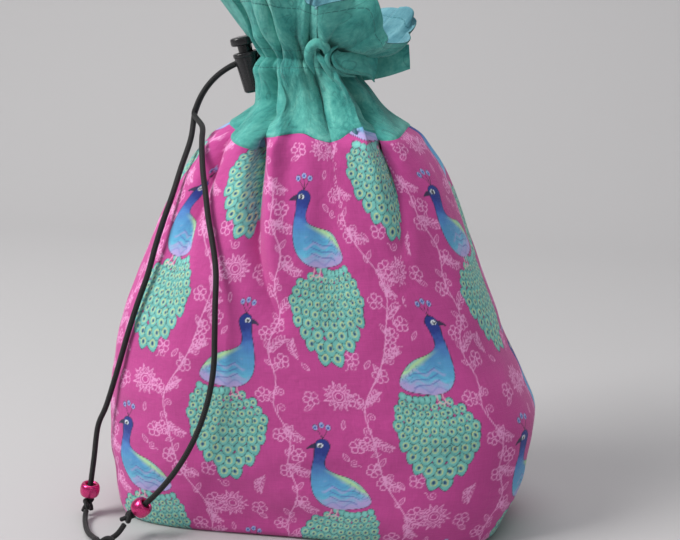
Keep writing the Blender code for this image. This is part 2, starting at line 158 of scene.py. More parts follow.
def make_mesh(name, verts, quads, uv=None, colour=None, scalars=None, tris=None, normals=None, smooth_shade=True):
    """Mesh object from arrays in millimetres. uv and colour are per point."""
    me = bpy.data.meshes.new(name)
    verts = np.asarray(verts, np.float32).reshape(-1, 3) * M
    quads = np.asarray(quads, np.int32).reshape(-1, 4)
    loops = quads.reshape(-1)
    starts = np.arange(len(quads), dtype=np.int32) * 4
    totals = np.full(len(quads), 4, np.int32)
    if tris is not None and len(tris):
        tris = np.asarray(tris, np.int32).reshape(-1, 3)
        starts = np.concatenate([starts, len(loops) + np.arange(len(tris), dtype=np.int32) * 3])
        totals = np.concatenate([totals, np.full(len(tris), 3, np.int32)])
        loops = np.concatenate([loops, tris.reshape(-1)])
    me.vertices.add(len(verts))
    me.vertices.foreach_set("co", verts.reshape(-1))
    me.loops.add(len(loops))
    me.loops.foreach_set("vertex_index", loops.astype(np.int32))
    me.polygons.add(len(starts))
    me.polygons.foreach_set("loop_start", starts.astype(np.int32))
    me.polygons.foreach_set("use_smooth", np.full(len(starts), smooth_shade))
    me.update(calc_edges=True)
    me.validate()
    if uv is not None:
        layer = me.uv_layers.new(name="Fabric")
        li = np.empty(len(me.loops), np.int32)
        me.loops.foreach_get("vertex_index", li)
        layer.data.foreach_set("uv", np.asarray(uv, np.float32).reshape(-1, 2)[li].reshape(-1))
    if colour is not None:
        at = me.attributes.new("Print", 'FLOAT_COLOR', 'POINT')
        col = np.ones((len(verts), 4), np.float32)
        col[:, :3] = np.asarray(colour, np.float32).reshape(-1, 3)
        at.data.foreach_set("color", col.reshape(-1))
    for key, val in (scalars or {}).items():
        at = me.attributes.new(key, 'FLOAT', 'POINT')
        at.data.foreach_set("value", np.asarray(val, np.float32).reshape(-1))
    if normals is not None:
        me.normals_split_custom_set_from_vertices(np.asarray(normals, np.float32).reshape(-1, 3))
    ob = bpy.data.objects.new(name, me)
    return link(ob)


def weld_normals(p, cols_wrap=True):
    """Point normals of a grid (rows, cols, 3)."""
    if cols_wrap:
        du = np.roll(p, -1, axis=1) - np.roll(p, 1, axis=1)
    else:
        du = np.gradient(p, axis=1)
    dv = np.gradient(p, axis=0)
    n = np.cross(du, dv)
    return n / np.maximum(np.linalg.norm(n, axis=2, keepdims=True), 1e-9)


# =====================================================================================
# materials
# =====================================================================================
class NT:
    """Terse node building."""

    def __init__(self, name):
        self.m = bpy.data.materials.new(name)
        self.m.use_nodes = True
        self.t = self.m.node_tree
        self.p = self.t.nodes["Principled BSDF"]

    def n(self, kind, **kw):
        nd = self.t.nodes.new(kind)
        for k, v in kw.items():
            setattr(nd, k, v)
        return nd

    def set(self, sock, val):
        if isinstance(val, bpy.types.NodeSocket):
            self.t.links.new(val, sock)
        else:
            sock.default_value = val

    def math(self, op, a, b=0.0, c=0.0, clamp=False):
        nd = self.n("ShaderNodeMath", operation=op, use_clamp=clamp)
        for s, v in zip(nd.inputs, (a, b, c)):
            self.set(s, v)
        return nd.outputs[0]

    def mix(self, fac, a, b, mode='MIX'):
        nd = self.n("ShaderNodeMix", data_type='RGBA', blend_type=mode)
        nd.clamp_factor = True
        self.set(nd.inputs["Factor"], fac)
        self.set(nd.inputs[6], a if isinstance(a, bpy.types.NodeSocket) else (*a, 1.0))
        self.set(nd.inputs[7], b if isinstance(b, bpy.types.NodeSocket) else (*b, 1.0))
        return nd.outputs[2]

    def noise(self, vec, scale, detail=2.0, rough=0.5, dist=0.0):
        nd = self.n("ShaderNodeTexNoise")
        self.set(nd.inputs["Vector"], vec)
        nd.inputs["Scale"].default_value = scale
        nd.inputs["Detail"].default_value = detail
        nd.inputs["Roughness"].default_value = rough
        nd.inputs["Distortion"].default_value = dist
        return nd.outputs["Fac"]

    def ramp(self, fac, stops):
        nd = self.n("ShaderNodeValToRGB")
        self.set(nd.inputs["Fac"], fac)
        el = nd.color_ramp.elements
        while len(el) < len(stops):
            el.new(0.5)
        for e, (p, c) in zip(el, stops):
            e.position = p
            e.color = (*c, 1.0) if len(c) == 3 else c
        return nd.outputs["Color"]

    def maprange(self, v, a, b, c, d):
        nd = self.n("ShaderNodeMapRange")
        self.set(nd.inputs[0], v)
        for s, x in zip(list(nd.inputs)[1:5], (a, b, c, d)):
            s.default_value = x
        return nd.outputs[0]

    def bump(self, height, dist, strength=1.0, normal=None):
        nd = self.n("ShaderNodeBump")
        nd.inputs["Strength"].default_value = strength
        nd.inputs["Distance"].default_value = dist
        self.set(nd.inputs["Height"], height)
        if normal is not None:
            self.set(nd.inputs["Normal"], normal)
        return nd.outputs["Normal"]


def weave(k, uv, count, depth):
    """Plain weave in fabric millimetres. Gives (height 0..1, over/under 0..1)."""
    sep = k.n("ShaderNodeSeparateXYZ")
    k.set(sep.inputs[0], uv)
    x = k.math('MULTIPLY', sep.outputs[0], count)
    y = k.math('MULTIPLY', sep.outputs[1], count)
    sx = k.math('ABSOLUTE', k.math('SINE', k.math('MULTIPLY', x, PI)))
    sy = k.math('ABSOLUTE', k.math('SINE', k.math('MULTIPLY', y, PI)))
    cell = k.math('PINGPONG', k.math('ADD', k.math('FLOOR', x), k.math('FLOOR', y)), 1.0)
    warp = k.math('MULTIPLY', sx, k.math('ADD', 0.55, k.math('MULTIPLY', cell, 0.45)))
    weft = k.math('MULTIPLY', sy, k.math('SUBTRACT', 1.0, k.math('MULTIPLY', cell, 0.45)))
    h = k.math('MAXIMUM', warp, weft)
    return h, cell


NECK_V, RIM_V = 900.0, 934.0
STITCH_V = (NECK_V - 5.0, NECK_V + 4.5, RIM_V - 5.0)     # two rows for the casing and the hem


def cotton(name, base, mottled=None, count=2.6, sheen=0.25, rough=0.82, print_attr=False, thread_rgb=None):
    """Woven cotton in fabric coordinates (millimetres in the UV map)."""
    k = NT(name)
    uvn = k.n("ShaderNodeUVMap")
    uvn.uv_map = "Fabric"
    uv = uvn.outputs[0]
    col = base
    if print_attr:
        at = k.n("ShaderNodeAttribute")
        at.attribute_name = "Print"
        col = at.outputs["Color"]
    if mottled:
        col = mottled(k, uv)
    h, cell = weave(k, uv, count, 0.05)
    if thread_rgb:
        su = k.n("ShaderNodeSeparateXYZ")
        k.set(su.inputs[0], uv)
        on = 0.0
        for v0 in STITCH_V:
            d = k.math('ABSOLUTE', k.math('SUBTRACT', su.outputs[1], v0))
            on = k.math('MAXIMUM', on, k.maprange(d, 0.18, 0.34, 1.0, 0.0))
        ph = k.math('FRACT', k.math('MULTIPLY', su.outputs[0], 1 / 3.0))
        on = k.math('MULTIPLY', on, k.maprange(k.math('ABSOLUTE', k.math('SUBTRACT', ph, 0.5)), 0.36, 0.43, 1.0, 0.0))
        col = k.mix(on, col, thread_rgb)
        dip = 0.0
        for v0 in STITCH_V:
            d = k.math('ABSOLUTE', k.math('SUBTRACT', su.outputs[1], v0))
            dip = k.math('MAXIMUM', dip, k.maprange(d, 0.0, 1.1, 1.0, 0.0))
    # threads vary a little in dye and thickness, and the weave's low points carry painted shade
    slub = k.n("ShaderNodeMapping")
    slub.inputs["Scale"].default_value = (0.12, 2.4, 1.0)
    k.set(slub.inputs[0], uv)
    slub2 = k.n("ShaderNodeMapping")
    slub2.inputs["Scale"].default_value = (2.4, 0.12, 1.0)
    k.set(slub2.inputs[0], uv)
    n1 = k.noise(slub.outputs[0], 1.0, 1.0)
    n2 = k.noise(slub2.outputs[0], 1.0, 1.0)
    thread = k.math('ADD', n1, n2)
    cloud = k.noise(uv, 0.06, 2.0, 0.6)
    # painted shade and highlight: the weave height darkens the weave's low points and lightens its crowns a little
    shade = k.math('ADD', k.maprange(thread, 0.6, 1.4, 0.93, 1.06), k.maprange(h, 0.3, 1.0, -0.07, 0.03))
    shade = k.math('MULTIPLY', shade, k.maprange(cloud, 0.3, 0.7, 0.96, 1.04))
    gain = k.n("ShaderNodeVectorMath", operation='SCALE')
    if isinstance(col, bpy.types.NodeSocket):
        k.set(gain.inputs[0], col)
    else:
        gain.inputs[0].default_value = col
    k.set(gain.inputs["Scale"], shade)
    k.set(k.p.inputs["Base Color"], gain.outputs[0])
    k.set(k.p.inputs["Roughness"], k.maprange(k.math('ADD', h, n1), 0.6, 1.6, rough + 0.06, rough - 0.06))
    k.p.inputs["Sheen Weight"].default_value = sheen
    k.p.inputs["Sheen Roughness"].default_value = 0.5
    k.p.inputs["Specular IOR Level"].default_value = 0.25
    fine = k.bump(h, 0.00009, 0.8)
    crumple = k.noise(uv, 0.35, 3.0, 0.55)
    nrm = k.bump(crumple, 0.0007, 0.5, fine)
    if thread_rgb:
        nrm = k.bump(k.math('SUBTRACT', k.math('MULTIPLY', on, 0.6), dip), 0.00022, 0.6, nrm)
    k.set(k.p.inputs["Normal"], nrm)
    return k.m


def plain(name, rgb, rough=0.5, metal=0.0, coat=0.0, spec=0.5, bump_scale=0.0, bump_dist=0.0):
    k = NT(name)
    tc = k.n("ShaderNodeTexCoord")
    k.p.inputs["Base Color"].default_value = (*rgb, 1.0)
    k.p.inputs["Metallic"].default_value = metal
    k.p.inputs["Coat Weight"].default_value = coat
    k.p.inputs["Specular IOR Level"].default_value = spec
    n = k.noise(tc.outputs["Object"], 900.0, 2.0)
    k.set(k.p.inputs["Roughness"], k.maprange(n, 0.3, 0.7, rough * 0.85, rough * 1.15))
    if bump_dist:
        b = k.noise(tc.outputs["Object"], bump_scale, 3.0, 0.6)
        k.set(k.p.inputs["Normal"], k.bump(b, bump_dist, 0.6))
    return k.m


def braid_material(name, rgb, hi):
    """Round braid: two families of strands crossing, one over one. UV = (round 0..1, length in mm)."""
    k = NT(name)
    uvn = k.n("ShaderNodeUVMap")
    uvn.uv_map = "Fabric"
    sep = k.n("ShaderNodeSeparateXYZ")
    k.set(sep.inputs[0], uvn.outputs[0])
    x = k.math('MULTIPLY', sep.outputs[0], 6.0)
    y = k.math('MULTIPLY', sep.outputs[1], 0.95)
    p = k.math('ADD', x, y)
    q = k.math('SUBTRACT', x, y)
    sp_ = k.math('ABSOLUTE', k.math('SINE', k.math('MULTIPLY', p, PI)))
    sq_ = k.math('ABSOLUTE', k.math('SINE', k.math('MULTIPLY', q, PI)))
    cell = k.math('PINGPONG', k.math('ADD', k.math('FLOOR', p), k.math('FLOOR', q)), 1.0)
    a = k.math('MULTIPLY', sp_, k.math('ADD', 0.45, k.math('MULTIPLY', cell, 0.55)))
    b = k.math('MULTIPLY', sq_, k.math('SUBTRACT', 1.0, k.math('MULTIPLY', cell, 0.55)))
    h = k.math('MAXIMUM', a, b)
    # fine filaments along the strands
    fil = k.math('SINE', k.math('MULTIPLY', k.math('ADD', k.math('MULTIPLY', p, 5.0), k.math('MULTIPLY', q, 1.0)), PI * 2))
    hh = k.math('ADD', h, k.math('MULTIPLY', fil, 0.06))
    # painted shade and highlight: the gaps between strands are darkened to 0.3 of rgb and the strand crowns brightened
    # to hi
    col = k.ramp(h, [(0.25, (rgb[0] * 0.3, rgb[1] * 0.3, rgb[2] * 0.3)), (0.7, rgb), (1.0, hi)])
    k.set(k.p.inputs["Base Color"], col)
    k.p.inputs["Roughness"].default_value = 0.55
    k.p.inputs["Sheen Weight"].default_value = 0.12
    k.p.inputs["Sheen Roughness"].default_value = 0.35
    k.p.inputs["Specular IOR Level"].default_value = 0.35
    k.set(k.p.inputs["Normal"], k.bump(hh, 0.00028, 0.9))
    return k.m


def teal_batik(k, uv):
    """Hand-dyed teal: cloudy ground with fine mottling and faint dark scrolls."""
    big = k.noise(uv, 0.045, 3.0, 0.62, 0.6)
    fine = k.noise(uv, 0.35, 4.0, 0.65)
    g = k.math('ADD', k.math('MULTIPLY', big, 0.7), k.math('MULTIPLY', fine, 0.3))
    ground = k.ramp(g, [(0.32, (0.018, 0.170, 0.165)), (0.45, (0.052, 0.345, 0.310)),
                        (0.56, (0.115, 0.490, 0.430)), (0.70, (0.240, 0.660, 0.570))])
    # scrolls: bands where a warped pattern passes through zero
    warp = k.n("ShaderNodeVectorMath", operation='ADD')
    nz = k.n("ShaderNodeTexNoise")
    k.set(nz.inputs["Vector"], uv)
    nz.inputs["Scale"].default_value = 0.09
    nz.inputs["Detail"].default_value = 1.0
    sc = k.n("ShaderNodeVectorMath", operation='SCALE')
    k.set(sc.inputs[0], nz.outputs["Color"])
    sc.inputs["Scale"].default_value = 11.0
    k.set(warp.inputs[0], uv)
    k.set(warp.inputs[1], sc.outputs[0])
    vor = k.n("ShaderNodeTexVoronoi", feature='F1')
    k.set(vor.inputs["Vector"], warp.outputs[0])
    vor.inputs["Scale"].default_value = 0.085
    rings = k.math('ABSOLUTE', k.math('SINE', k.math('MULTIPLY', vor.outputs["Distance"], 9.5)))
    line = k.maprange(rings, 0.02, 0.30, 1.0, 0.0)
    gate = k.maprange(k.noise(uv, 0.05, 1.0), 0.42, 0.60, 0.0, 0.38)
    fac = k.math('MULTIPLY', line, gate)
    return k.mix(fac, ground, (0.014, 0.105, 0.110))


def lining_dye(k, uv):
    big = k.noise(uv, 0.06, 3.0, 0.6, 0.4)
    fine = k.noise(uv, 0.4, 3.0, 0.6)
    g = k.math('ADD', k.math('MULTIPLY', big, 0.65), k.math('MULTIPLY', fine, 0.35))
    return k.ramp(g, [(0.34, (0.060, 0.205, 0.260)), (0.52, (0.100, 0.285, 0.345)), (0.70, (0.165, 0.380, 0.435))])


MAT_PRINT = cotton("magenta_print_cotton", (1, 1, 1), print_attr=True, count=2.4, sheen=0.18)
MAT_TEAL = cotton("teal_batik_cotton", (0.05, 0.28, 0.27), mottled=teal_batik, count=2.4, sheen=0.22, thread_rgb=(0.045, 0.240, 0.225))
MAT_LINING = cotton("pale_blue_lining", (0.25, 0.50, 0.60), mottled=lining_dye, count=2.4, sheen=0.2, thread_rgb=(0.05, 0.20, 0.24))
MAT_FLEECE = plain("white_fleece_interlining", (0.80, 0.79, 0.76), 0.95, spec=0.1, bump_scale=900.0, bump_dist=0.0005)
# the second colour is a painted highlight on the strand crowns
MAT_CORD = braid_material("black_braided_cord", (0.006, 0.006, 0.007), (0.020, 0.020, 0.022))
MAT_LOCK = plain("black_lock_plastic", (0.012, 0.012, 0.014), 0.28, spec=0.55, bump_scale=1500.0, bump_dist=0.00003)
MAT_STEEL = plain("spring_steel", (0.55, 0.55, 0.56), 0.25, 1.0)
MAT_THREAD = plain("dark_sewing_thread", (0.020, 0.060, 0.070), 0.7, spec=0.2)


def bead_material(name, rgb):
    k = NT(name)
    tc = k.n("ShaderNodeTexCoord")
    n = k.noise(tc.outputs["Object"], 1800.0, 3.0, 0.6)
    col = k.mix(n, (rgb[0] * 0.85, rgb[1] * 0.6, rgb[2] * 0.8), (rgb[0] * 1.1, rgb[1] * 1.3, rgb[2] * 1.15))
    k.set(k.p.inputs["Base Color"], col)
    k.p.inputs["Metallic"].default_value = 0.75
    k.set(k.p.inputs["Roughness"], k.maprange(n, 0.3, 0.7, 0.20, 0.34))
    k.p.inputs["Coat Weight"].default_value = 0.6
    k.p.inputs["Coat Roughness"].default_value = 0.08
    k.set(k.p.inputs["Normal"], k.bump(n, 0.00004, 0.6))
    return k.m


MAT_BEAD_L = bead_material("metallic_pink_bead_left", (0.66, 0.030, 0.19))
MAT_BEAD_R = bead_material("metallic_pink_bead_right", (0.66, 0.030, 0.19))


# =====================================================================================
# the cloth surface
# =====================================================================================
Y0 = 3.0
# height, half width, half depth, squareness, centre x (mm)
PROFILE = np.array([
    (0, 86.5, 38.5, 4.5, 0.0), (18, 93.0, 43.0, 3.6, 2.4), (34, 95.6, 45.6, 3.25, 3.1), (50, 96.7, 47.0, 3.0, 3.6),
    (70, 92.5, 47.4, 2.8, 1.6), (90, 86.0, 47.0, 2.6, -1.0), (110, 79.0, 45.4, 2.45, -1.3),
    (130, 71.5, 43.0, 2.3, -1.2), (143, 66.6, 40.8, 2.25, -0.6), (155, 60.8, 38.0, 2.2, 0.2),
    (163, 55.6, 36.2, 2.15, 0.9), (170, 49.9, 34.5, 2.12, 1.5), (175, 45.7, 32.9, 2.1, 1.9),
    (180, 37.8, 28.8, 2.05, 2.4), (185, 30.4, 24.8, 2.0, 3.0), (190, 25.0, 21.2, 2.0, 3.6), (195, 22.4, 18.8, 2.0, 2.4),
    (201, 19.6, 17.2, 2.0, -0.4), (208, 18.0, 16.4, 2.0, -2.6), (214, 18.3, 16.7, 2.0, -2.6)], float)
NECK_Z = 209.0
FABRIC = 484.0           # cloth round the body, two panels of 242 mm


def profile(z):
    c = PROFILE
    return [hermite(z, c[:, 0], c[:, i]) for i in range(1, 5)]


class Wall:
    """The gathered tube from the base to the neck, as points of (height, share of the way round)."""

    def __init__(self, tau, zmax=215.0, dz=1.0):
        self.tau = np.asarray(tau)
        self.zs = np.arange(0.0, zmax + dz / 2, dz)
        self.dz = dz
        a, b, n, cx = profile(self.zs)
        fine = np.linspace(0, 2 * PI, 3601)
        X, Y, P = [], [], []
        for k in range(len(self.zs)):
            c, s = np.cos(fine), np.sin(fine)
            x = cx[k] - a[k] * np.sign(c) * np.abs(c) ** (2 / n[k])
            y = -b[k] * np.sign(s) * np.abs(s) ** (2 / n[k])
            x, y = x[:-1], y[:-1]
            lft = np.nonzero(x < cx[k])[0]
            j0 = lft[np.argmin(np.abs(y[lft] - Y0))]
            x, y = np.roll(x, -j0), np.roll(y, -j0)
            x, y = np.append(x, x[0]), np.append(y, y[0])
            L = np.concatenate([[0], np.cumsum(np.hypot(np.diff(x), np.diff(y)))])
            rgt = np.nonzero(x > cx[k])[0]
            jr = rgt[np.argmin(np.abs(y[rgt] - Y0))]
            P.append(L[-1])
            want = np.where(self.tau <= 0.5, self.tau * 2 * L[jr], L[jr] + (self.tau - 0.5) * 2 * (L[-1] - L[jr]))
            X.append(np.interp(want, L, x))
            Y.append(np.interp(want, L, y))
        self.X, self.Y, self.P = np.array(X), np.array(Y), np.array(P)

    def at(self, z, col=None):
        """x, y, ring length for heights z given as (rows, columns)."""
        f = np.clip(z, 0, self.zs[-1] - 1e-6) / self.dz
        i = f.astype(int)
        t = f - i
        j = np.arange(z.shape[1])[None, :] if col is None else col
        x = self.X[i, j] * (1 - t) + self.X[i + 1, j] * t
        y = self.Y[i, j] * (1 - t) + self.Y[i + 1, j] * t
        return x, y, self.P[i] * (1 - t) + self.P[i + 1] * t


# creases: side, path (height, x), depth, ridge, ridge side, width, share of the hidden cloth
CREASES = [
    # front
    dict(side=-1, path=[(100, -3.5), (118, -11.0), (136, -14.8), (155, -15.6), (172, -15.4), (180, -13.2), (194, -11.6), (203, -12.0), (209, -13.0)],
         depth=[(96, 0), (116, 2.4), (136, 6.0), (155, 9.0), (172, 11.6), (182, 11.4), (192, 9.0), (203, 6.4), (209, 4.0)], ridge=0.42, rside=1, w=2.7, share=0.30),
    dict(side=-1, path=[(140, 46.0), (155, 42.5), (168, 38.0), (177, 32.4), (188, 26.0), (195, 20.5), (203, 14.0), (209, 11.0)],
         depth=[(128, 0), (150, 3.6), (165, 7.6), (176, 11.2), (186, 11.6), (195, 9.0), (203, 6.0), (209, 3.8)], ridge=0.40, rside=-1, w=3.0, share=0.28),
    dict(side=-1, path=[(150, 19.0), (176, 15.0), (186, 12.6), (194, 9.6), (202, 5.2), (209, 2.4)],
         depth=[(166, 0), (174, 0.9), (182, 4.0), (190, 7.4), (198, 8.0), (205, 5.5), (209, 3.6)], ridge=0.34, rside=1, w=3.2, share=0.14),
    dict(side=-1, path=[(120, -52.0), (140, -45.0), (160, -38.5), (174, -34.5), (182, -27.5), (190, -22.0), (209, -20.6)],
         depth=[(118, 0), (140, 2.0), (160, 4.2), (174, 5.0), (182, 3.0), (190, 0.6), (209, 0.2)], ridge=0.40, rside=-1, w=2.7, share=0.28),
    # back
    dict(side=1, path=[(95, 8.0), (118, 12.0), (140, 13.0), (160, 11.0), (176, 8.0), (190, 3.0), (209, -1.0)],
         depth=[(94, 0), (120, 2.2), (140, 5.0), (160, 7.5), (174, 9.0), (184, 8.5), (196, 6.5), (209, 3.4)], ridge=0.42, rside=-1, w=2.8, share=0.34),
    dict(side=1, path=[(112, -44.0), (135, -37.0), (158, -29.0), (174, -22.5), (186, -15.0), (196, -12.0), (209, -12.5)],
         depth=[(112, 0), (135, 2.4), (158, 6.0), (174, 8.5), (184, 8.0), (196, 6.0), (209, 3.2)], ridge=0.40, rside=1, w=2.8, share=0.32),
    dict(side=1, path=[(125, 52.0), (145, 45.0), (160, 39.0), (174, 33.0), (184, 25.0), (194, 17.0), (209, 9.5)],
         depth=[(124, 0), (145, 2.6), (162, 6.0), (174, 8.5), (184, 7.5), (196, 6.0), (209, 3.2)], ridge=0.42, rside=-1, w=2.8, share=0.34),
]

# the seam between print and batik rises and falls with the lobes: x, height
SEAM_FRONT = [(-46, 179.5), (-38, 180), (-30, 176.5), (-20, 173.5), (-16, 172.2), (-12.6, 176.6), (-7, 178.8), (2, 179.3),
              (9, 177.2), (14, 176), (18, 177), (25, 181.4), (29, 182.3), (32, 178.2), (34, 175.8), (39, 176.5), (46, 179)]
SEAM_BACK = [(-46, 179.5), (-34, 178), (-24, 174.5), (-20, 176.5), (-8, 179.6), (2, 178.4), (8, 174.8), (12, 178),
             (20, 180), (29, 177), (33, 174.8), (38, 177), (46, 179)]


def crease_field(wall, z, P, scale=1.0):
    """Outward displacement for heights z (rows, cols); stores where each crease lies and how deep it is."""
    tau = wall.tau
    zr = z[:, 0] if np.ptp(z, axis=1).max() < 1e-6 else None
    D = np.zeros_like(z)
    zs = wall.zs
    front = tau <= 0.5
    for c in CREASES:
        xs = hermite(zs, *zip(*c["path"]))
        # share of the way round where the crease lies at each height
        tc = np.empty(len(zs))
        for k in range(len(zs)):
            if c["side"] < 0:
                tc[k] = np.interp(xs[k], wall.X[k, front], tau[front])
            else:
                xb, tb = wall.X[k, ~front][::-1], tau[~front][::-1]
                tc[k] = np.interp(xs[k], xb, tb)
        c["tc"] = tc
        dep = np.interp(zs, *zip(*c["depth"]))
        dep = dep * (zs >= c["depth"][0][0])
        c["dep"] = dep
        tcz = np.interp(z, zs, tc)
        dz_ = np.interp(z, zs, dep)
        d = (tau[None, :] - tcz + 0.5) % 1.0 - 0.5
        d = d * P
        w = c["w"] * np.interp(z, [90, 170, 195, 209], [1.35, 1.1, 0.72, 0.62])
        D -= dz_ * np.exp(-(np.abs(d) / w) ** 1.25)
        rs = c["rside"]
        D += dz_ * c["ridge"] * np.exp(-((d * rs - 2.0 * w) / (1.5 * w)) ** 2)
        D += dz_ * c["ridge"] * 0.45 * np.exp(-((d * rs + 2.2 * w) / (1.9 * w)) ** 2)
    return D * scale


PLEATS = 23


def pleat_field(tau, z):
    ph = PLEATS * tau + 0.38 * np.sin(2 * PI * 2 * tau + 1.0) + 0.27 * np.sin(2 * PI * 5 * tau + 2.2)
    ph = ph[None, :] + 0.10 * np.sin((z - 160) / 13.0 + 9 * tau[None, :])
    fold = np.abs(np.cos(PI * ph)) ** 0.8
    amp = np.interp(z, [186, 194, 200, 205, 209, 213], [0.0, 0.35, 1.1, 2.0, 2.6, 2.8])
    r = np.random.RandomState(21).uniform(0.55, 1.25, PLEATS + 4)
    k = np.clip(np.floor(ph + 0.5).astype(int), 0, PLEATS + 3) % PLEATS
    return (fold - 0.62) * 2.0 * amp * r[k]


def wrinkles(tau, z, P):
    u = tau[None, :] * 1.0
    s = np.broadcast_to(u, z.shape)
    big = value_noise(s * 9, z / 46.0 + 3, 11, 9) * 1.3
    # long soft drags that gather towards the neck
    drag = value_noise(s * 34, z / 70.0 + 1, 12, 34) * np.interp(z, [0, 70, 120, 160, 180], [0.15, 0.45, 1.0, 1.25, 0.9])
    # short cross ripples low on the body
    rip = value_noise(s * 16, z / 11.0 + 5, 13, 16) * np.interp(z, [0, 10, 45, 80, 140], [0.1, 0.7, 0.45, 0.3, 0.2])
    tiny = value_noise(s * 60, z / 9.0 + 7, 14, 60) * 0.16
    return big + drag + rip + tiny


# broad lobes of the gathered band: angle about the neck, height, bulge, spread in angle and height
LOBES = [(208, 194, 3.4, 17, 8), (206, 202, 1.6, 15, 5), (262, 200, 1.8, 16, 6), (312, 200, 2.6, 12, 7), (300, 211, 3.2, 9, 5),
         (345, 196, 1.2, 18, 8), (110, 200, 2.2, 22, 7), (60, 199, 1.8, 20, 7), (155, 198, 1.8, 18, 7)]


def lobes(x, y, z):
    ang = np.degrees(np.arctan2(y, x + 1.0)) % 360
    D = np.zeros_like(z)
    for a0, z0, amp, sa, sz in LOBES:
        da = (ang - a0 + 180) % 360 - 180
        D += amp * np.exp(-(da / sa) ** 2 - ((z - z0) / sz) ** 2)
    # the cord pulls a groove round the casing, cloth swells below it
    D -= 1.9 * np.exp(-((z - 209.0) / 1.7) ** 2)
    D += 1.1 * np.exp(-((z - 203.6) / 2.8) ** 2)
    return D


def seam_height(x, y):
    f = hermite(x, *zip(*SEAM_FRONT))
    b = hermite(x, *zip(*SEAM_BACK))
    t = smooth(y, Y0 - 4, Y0 + 4)
    return f * (1 - t) + b * t


def displaced(wall, z, scale=1.0, extra=None):
    """Points (rows, cols, 3) of the gathered cloth at heights z."""
    x, y, P = wall.at(z)
    gx = (np.roll(x, -1, axis=1) - np.roll(x, 1, axis=1))
    gy = (np.roll(y, -1, axis=1) - np.roll(y, 1, axis=1))
    L = np.maximum(np.hypot(gx, gy), 1e-9)
    nx, ny = gy / L, -gx / L
    D = (crease_field(wall, z, P) + wrinkles(wall.tau, z, P)) * scale
    D = D + pleat_field(wall.tau, z) * scale + lobes(x, y, z)
    calm = smooth(z, 0, 9)
    D = D * (0.15 + 0.85 * calm)
    if extra is not None:
        D = D + extra
    return np.stack([x + nx * D, y + ny * D, z], axis=-1), P


def rows_z(zs, wall, top):
    """Heights per point: flat rows low down, bending up to the wavy seam at the top row."""
    seam = top[None, :]
    z = zs[:, None] * np.ones_like(seam)
    k = np.clip((z - 140.0) / (177.5 - 140.0), 0, 1)
    return z + (seam - 177.5) * k


def fabric_u(wall, z, P):
    """Distance round the cloth, with most of the slack hidden in the creases."""
    tau = wall.tau
    n = len(tau)
    cmax = 1.13
    c = np.minimum(cmax, FABRIC / P)
    dens = np.repeat(c[:, None], n, axis=1) if P.ndim == 1 else c.copy()
    ds = P / n
    excess = FABRIC - c * P
    for half in (-1, 1):
        tot = sum(k["share"] for k in CREASES if k["side"] == half)
        for k in CREASES:
            if k["side"] != half:
                continue
            tcz = np.interp(z, wall.zs, k["tc"])
            d = ((tau[None, :] - tcz + 0.5) % 1.0 - 0.5) * P
            w = k["w"] * 0.85
            g = np.exp(-(d / w) ** 2)
            g /= np.maximum((g * ds).sum(axis=1, keepdims=True), 1e-9)
            dens += g * excess * 0.5 * k["share"] / tot
    u = np.cumsum(dens * ds, axis=1)
    u = np.concatenate([np.zeros((len(z), 1)), u], axis=1)
    u = u[:, :-1] * (FABRIC / u[:, -1:])
    return u


# =====================================================================================
# the print: an original repeat of long-tailed birds, line-drawn vines and sunbursts,
# painted in memory and laid on the cloth as a point attribute
# =====================================================================================
TW, TH, PX = 88.0, 110.0, 10.0


def lin_rgb(c):
    c = np.asarray(c, float)
    return np.where(c <= 0.04045, c / 12.92, ((c + 0.055) / 1.055) ** 2.4)


class Tile:
    def __init__(self, ground):
        self.w, self.h = int(TW * PX), int(TH * PX)
        self.a = np.empty((self.h, self.w, 3), np.float32)
        self.a[...] = ground

    def window(self, x0, y0, x1, y1):
        ix = np.arange(int(math.floor(x0 * PX)) - 1, int(math.ceil(x1 * PX)) + 2)
        iy = np.arange(int(math.floor(y0 * PX)) - 1, int(math.ceil(y1 * PX)) + 2)
        X, Y = np.meshgrid((ix + 0.5) / PX, (iy + 0.5) / PX)
        return X, Y, ix % self.w, iy % self.h

    def lay(self, sd, win, rgb, alpha=1.0, soft=0.07):
        X, Y, ix, iy = win
        a = np.clip(0.5 - sd / (2 * soft), 0, 1) * alpha
        a = a[..., None]
        cur = self.a[np.ix_(iy, ix)]
        self.a[np.ix_(iy, ix)] = cur * (1 - a) + np.asarray(rgb, np.float32) * a


def seg_dist(X, Y, pts, closed=False):
    p = np.asarray(pts, float)
    q = np.roll(p, -1, axis=0) if closed else p[1:]
    p = p if closed else p[:-1]
    best = np.full(X.shape, 1e9)
    for (ax, ay), (bx, by) in zip(p, q):
        dx, dy = bx - ax, by - ay
        L = dx * dx + dy * dy
        if L < 1e-12:
            continue
        t = np.clip(((X - ax) * dx + (Y - ay) * dy) / L, 0, 1)
        best = np.minimum(best, (X - ax - t * dx) ** 2 + (Y - ay - t * dy) ** 2)
    return np.sqrt(best)


def inside(X, Y, pts):
    p = np.asarray(pts, float)
    q = np.roll(p, -1, axis=0)
    c = np.zeros(X.shape, bool)
    for (ax, ay), (bx, by) in zip(p, q):
        if ay == by:
            continue
        hit = ((ay > Y) != (by > Y)) & (X < (bx - ax) * (Y - ay) / (by - ay) + ax)
        c ^= hit
    return c


def loop_curve(pts, n=8):
    p = np.asarray(pts, float)
    out = []
    m = len(p)
    for i in range(m):
        a, b, c, d = p[i - 1], p[i], p[(i + 1) % m], p[(i + 2) % m]
        for k in range(n):
            t = k / n
            out.append(0.5 * (2 * b + (c - a) * t + (2 * a - 5 * b + 4 * c - d) * t * t + (3 * b - a - 3 * c + d) * t ** 3))
    return np.array(out)


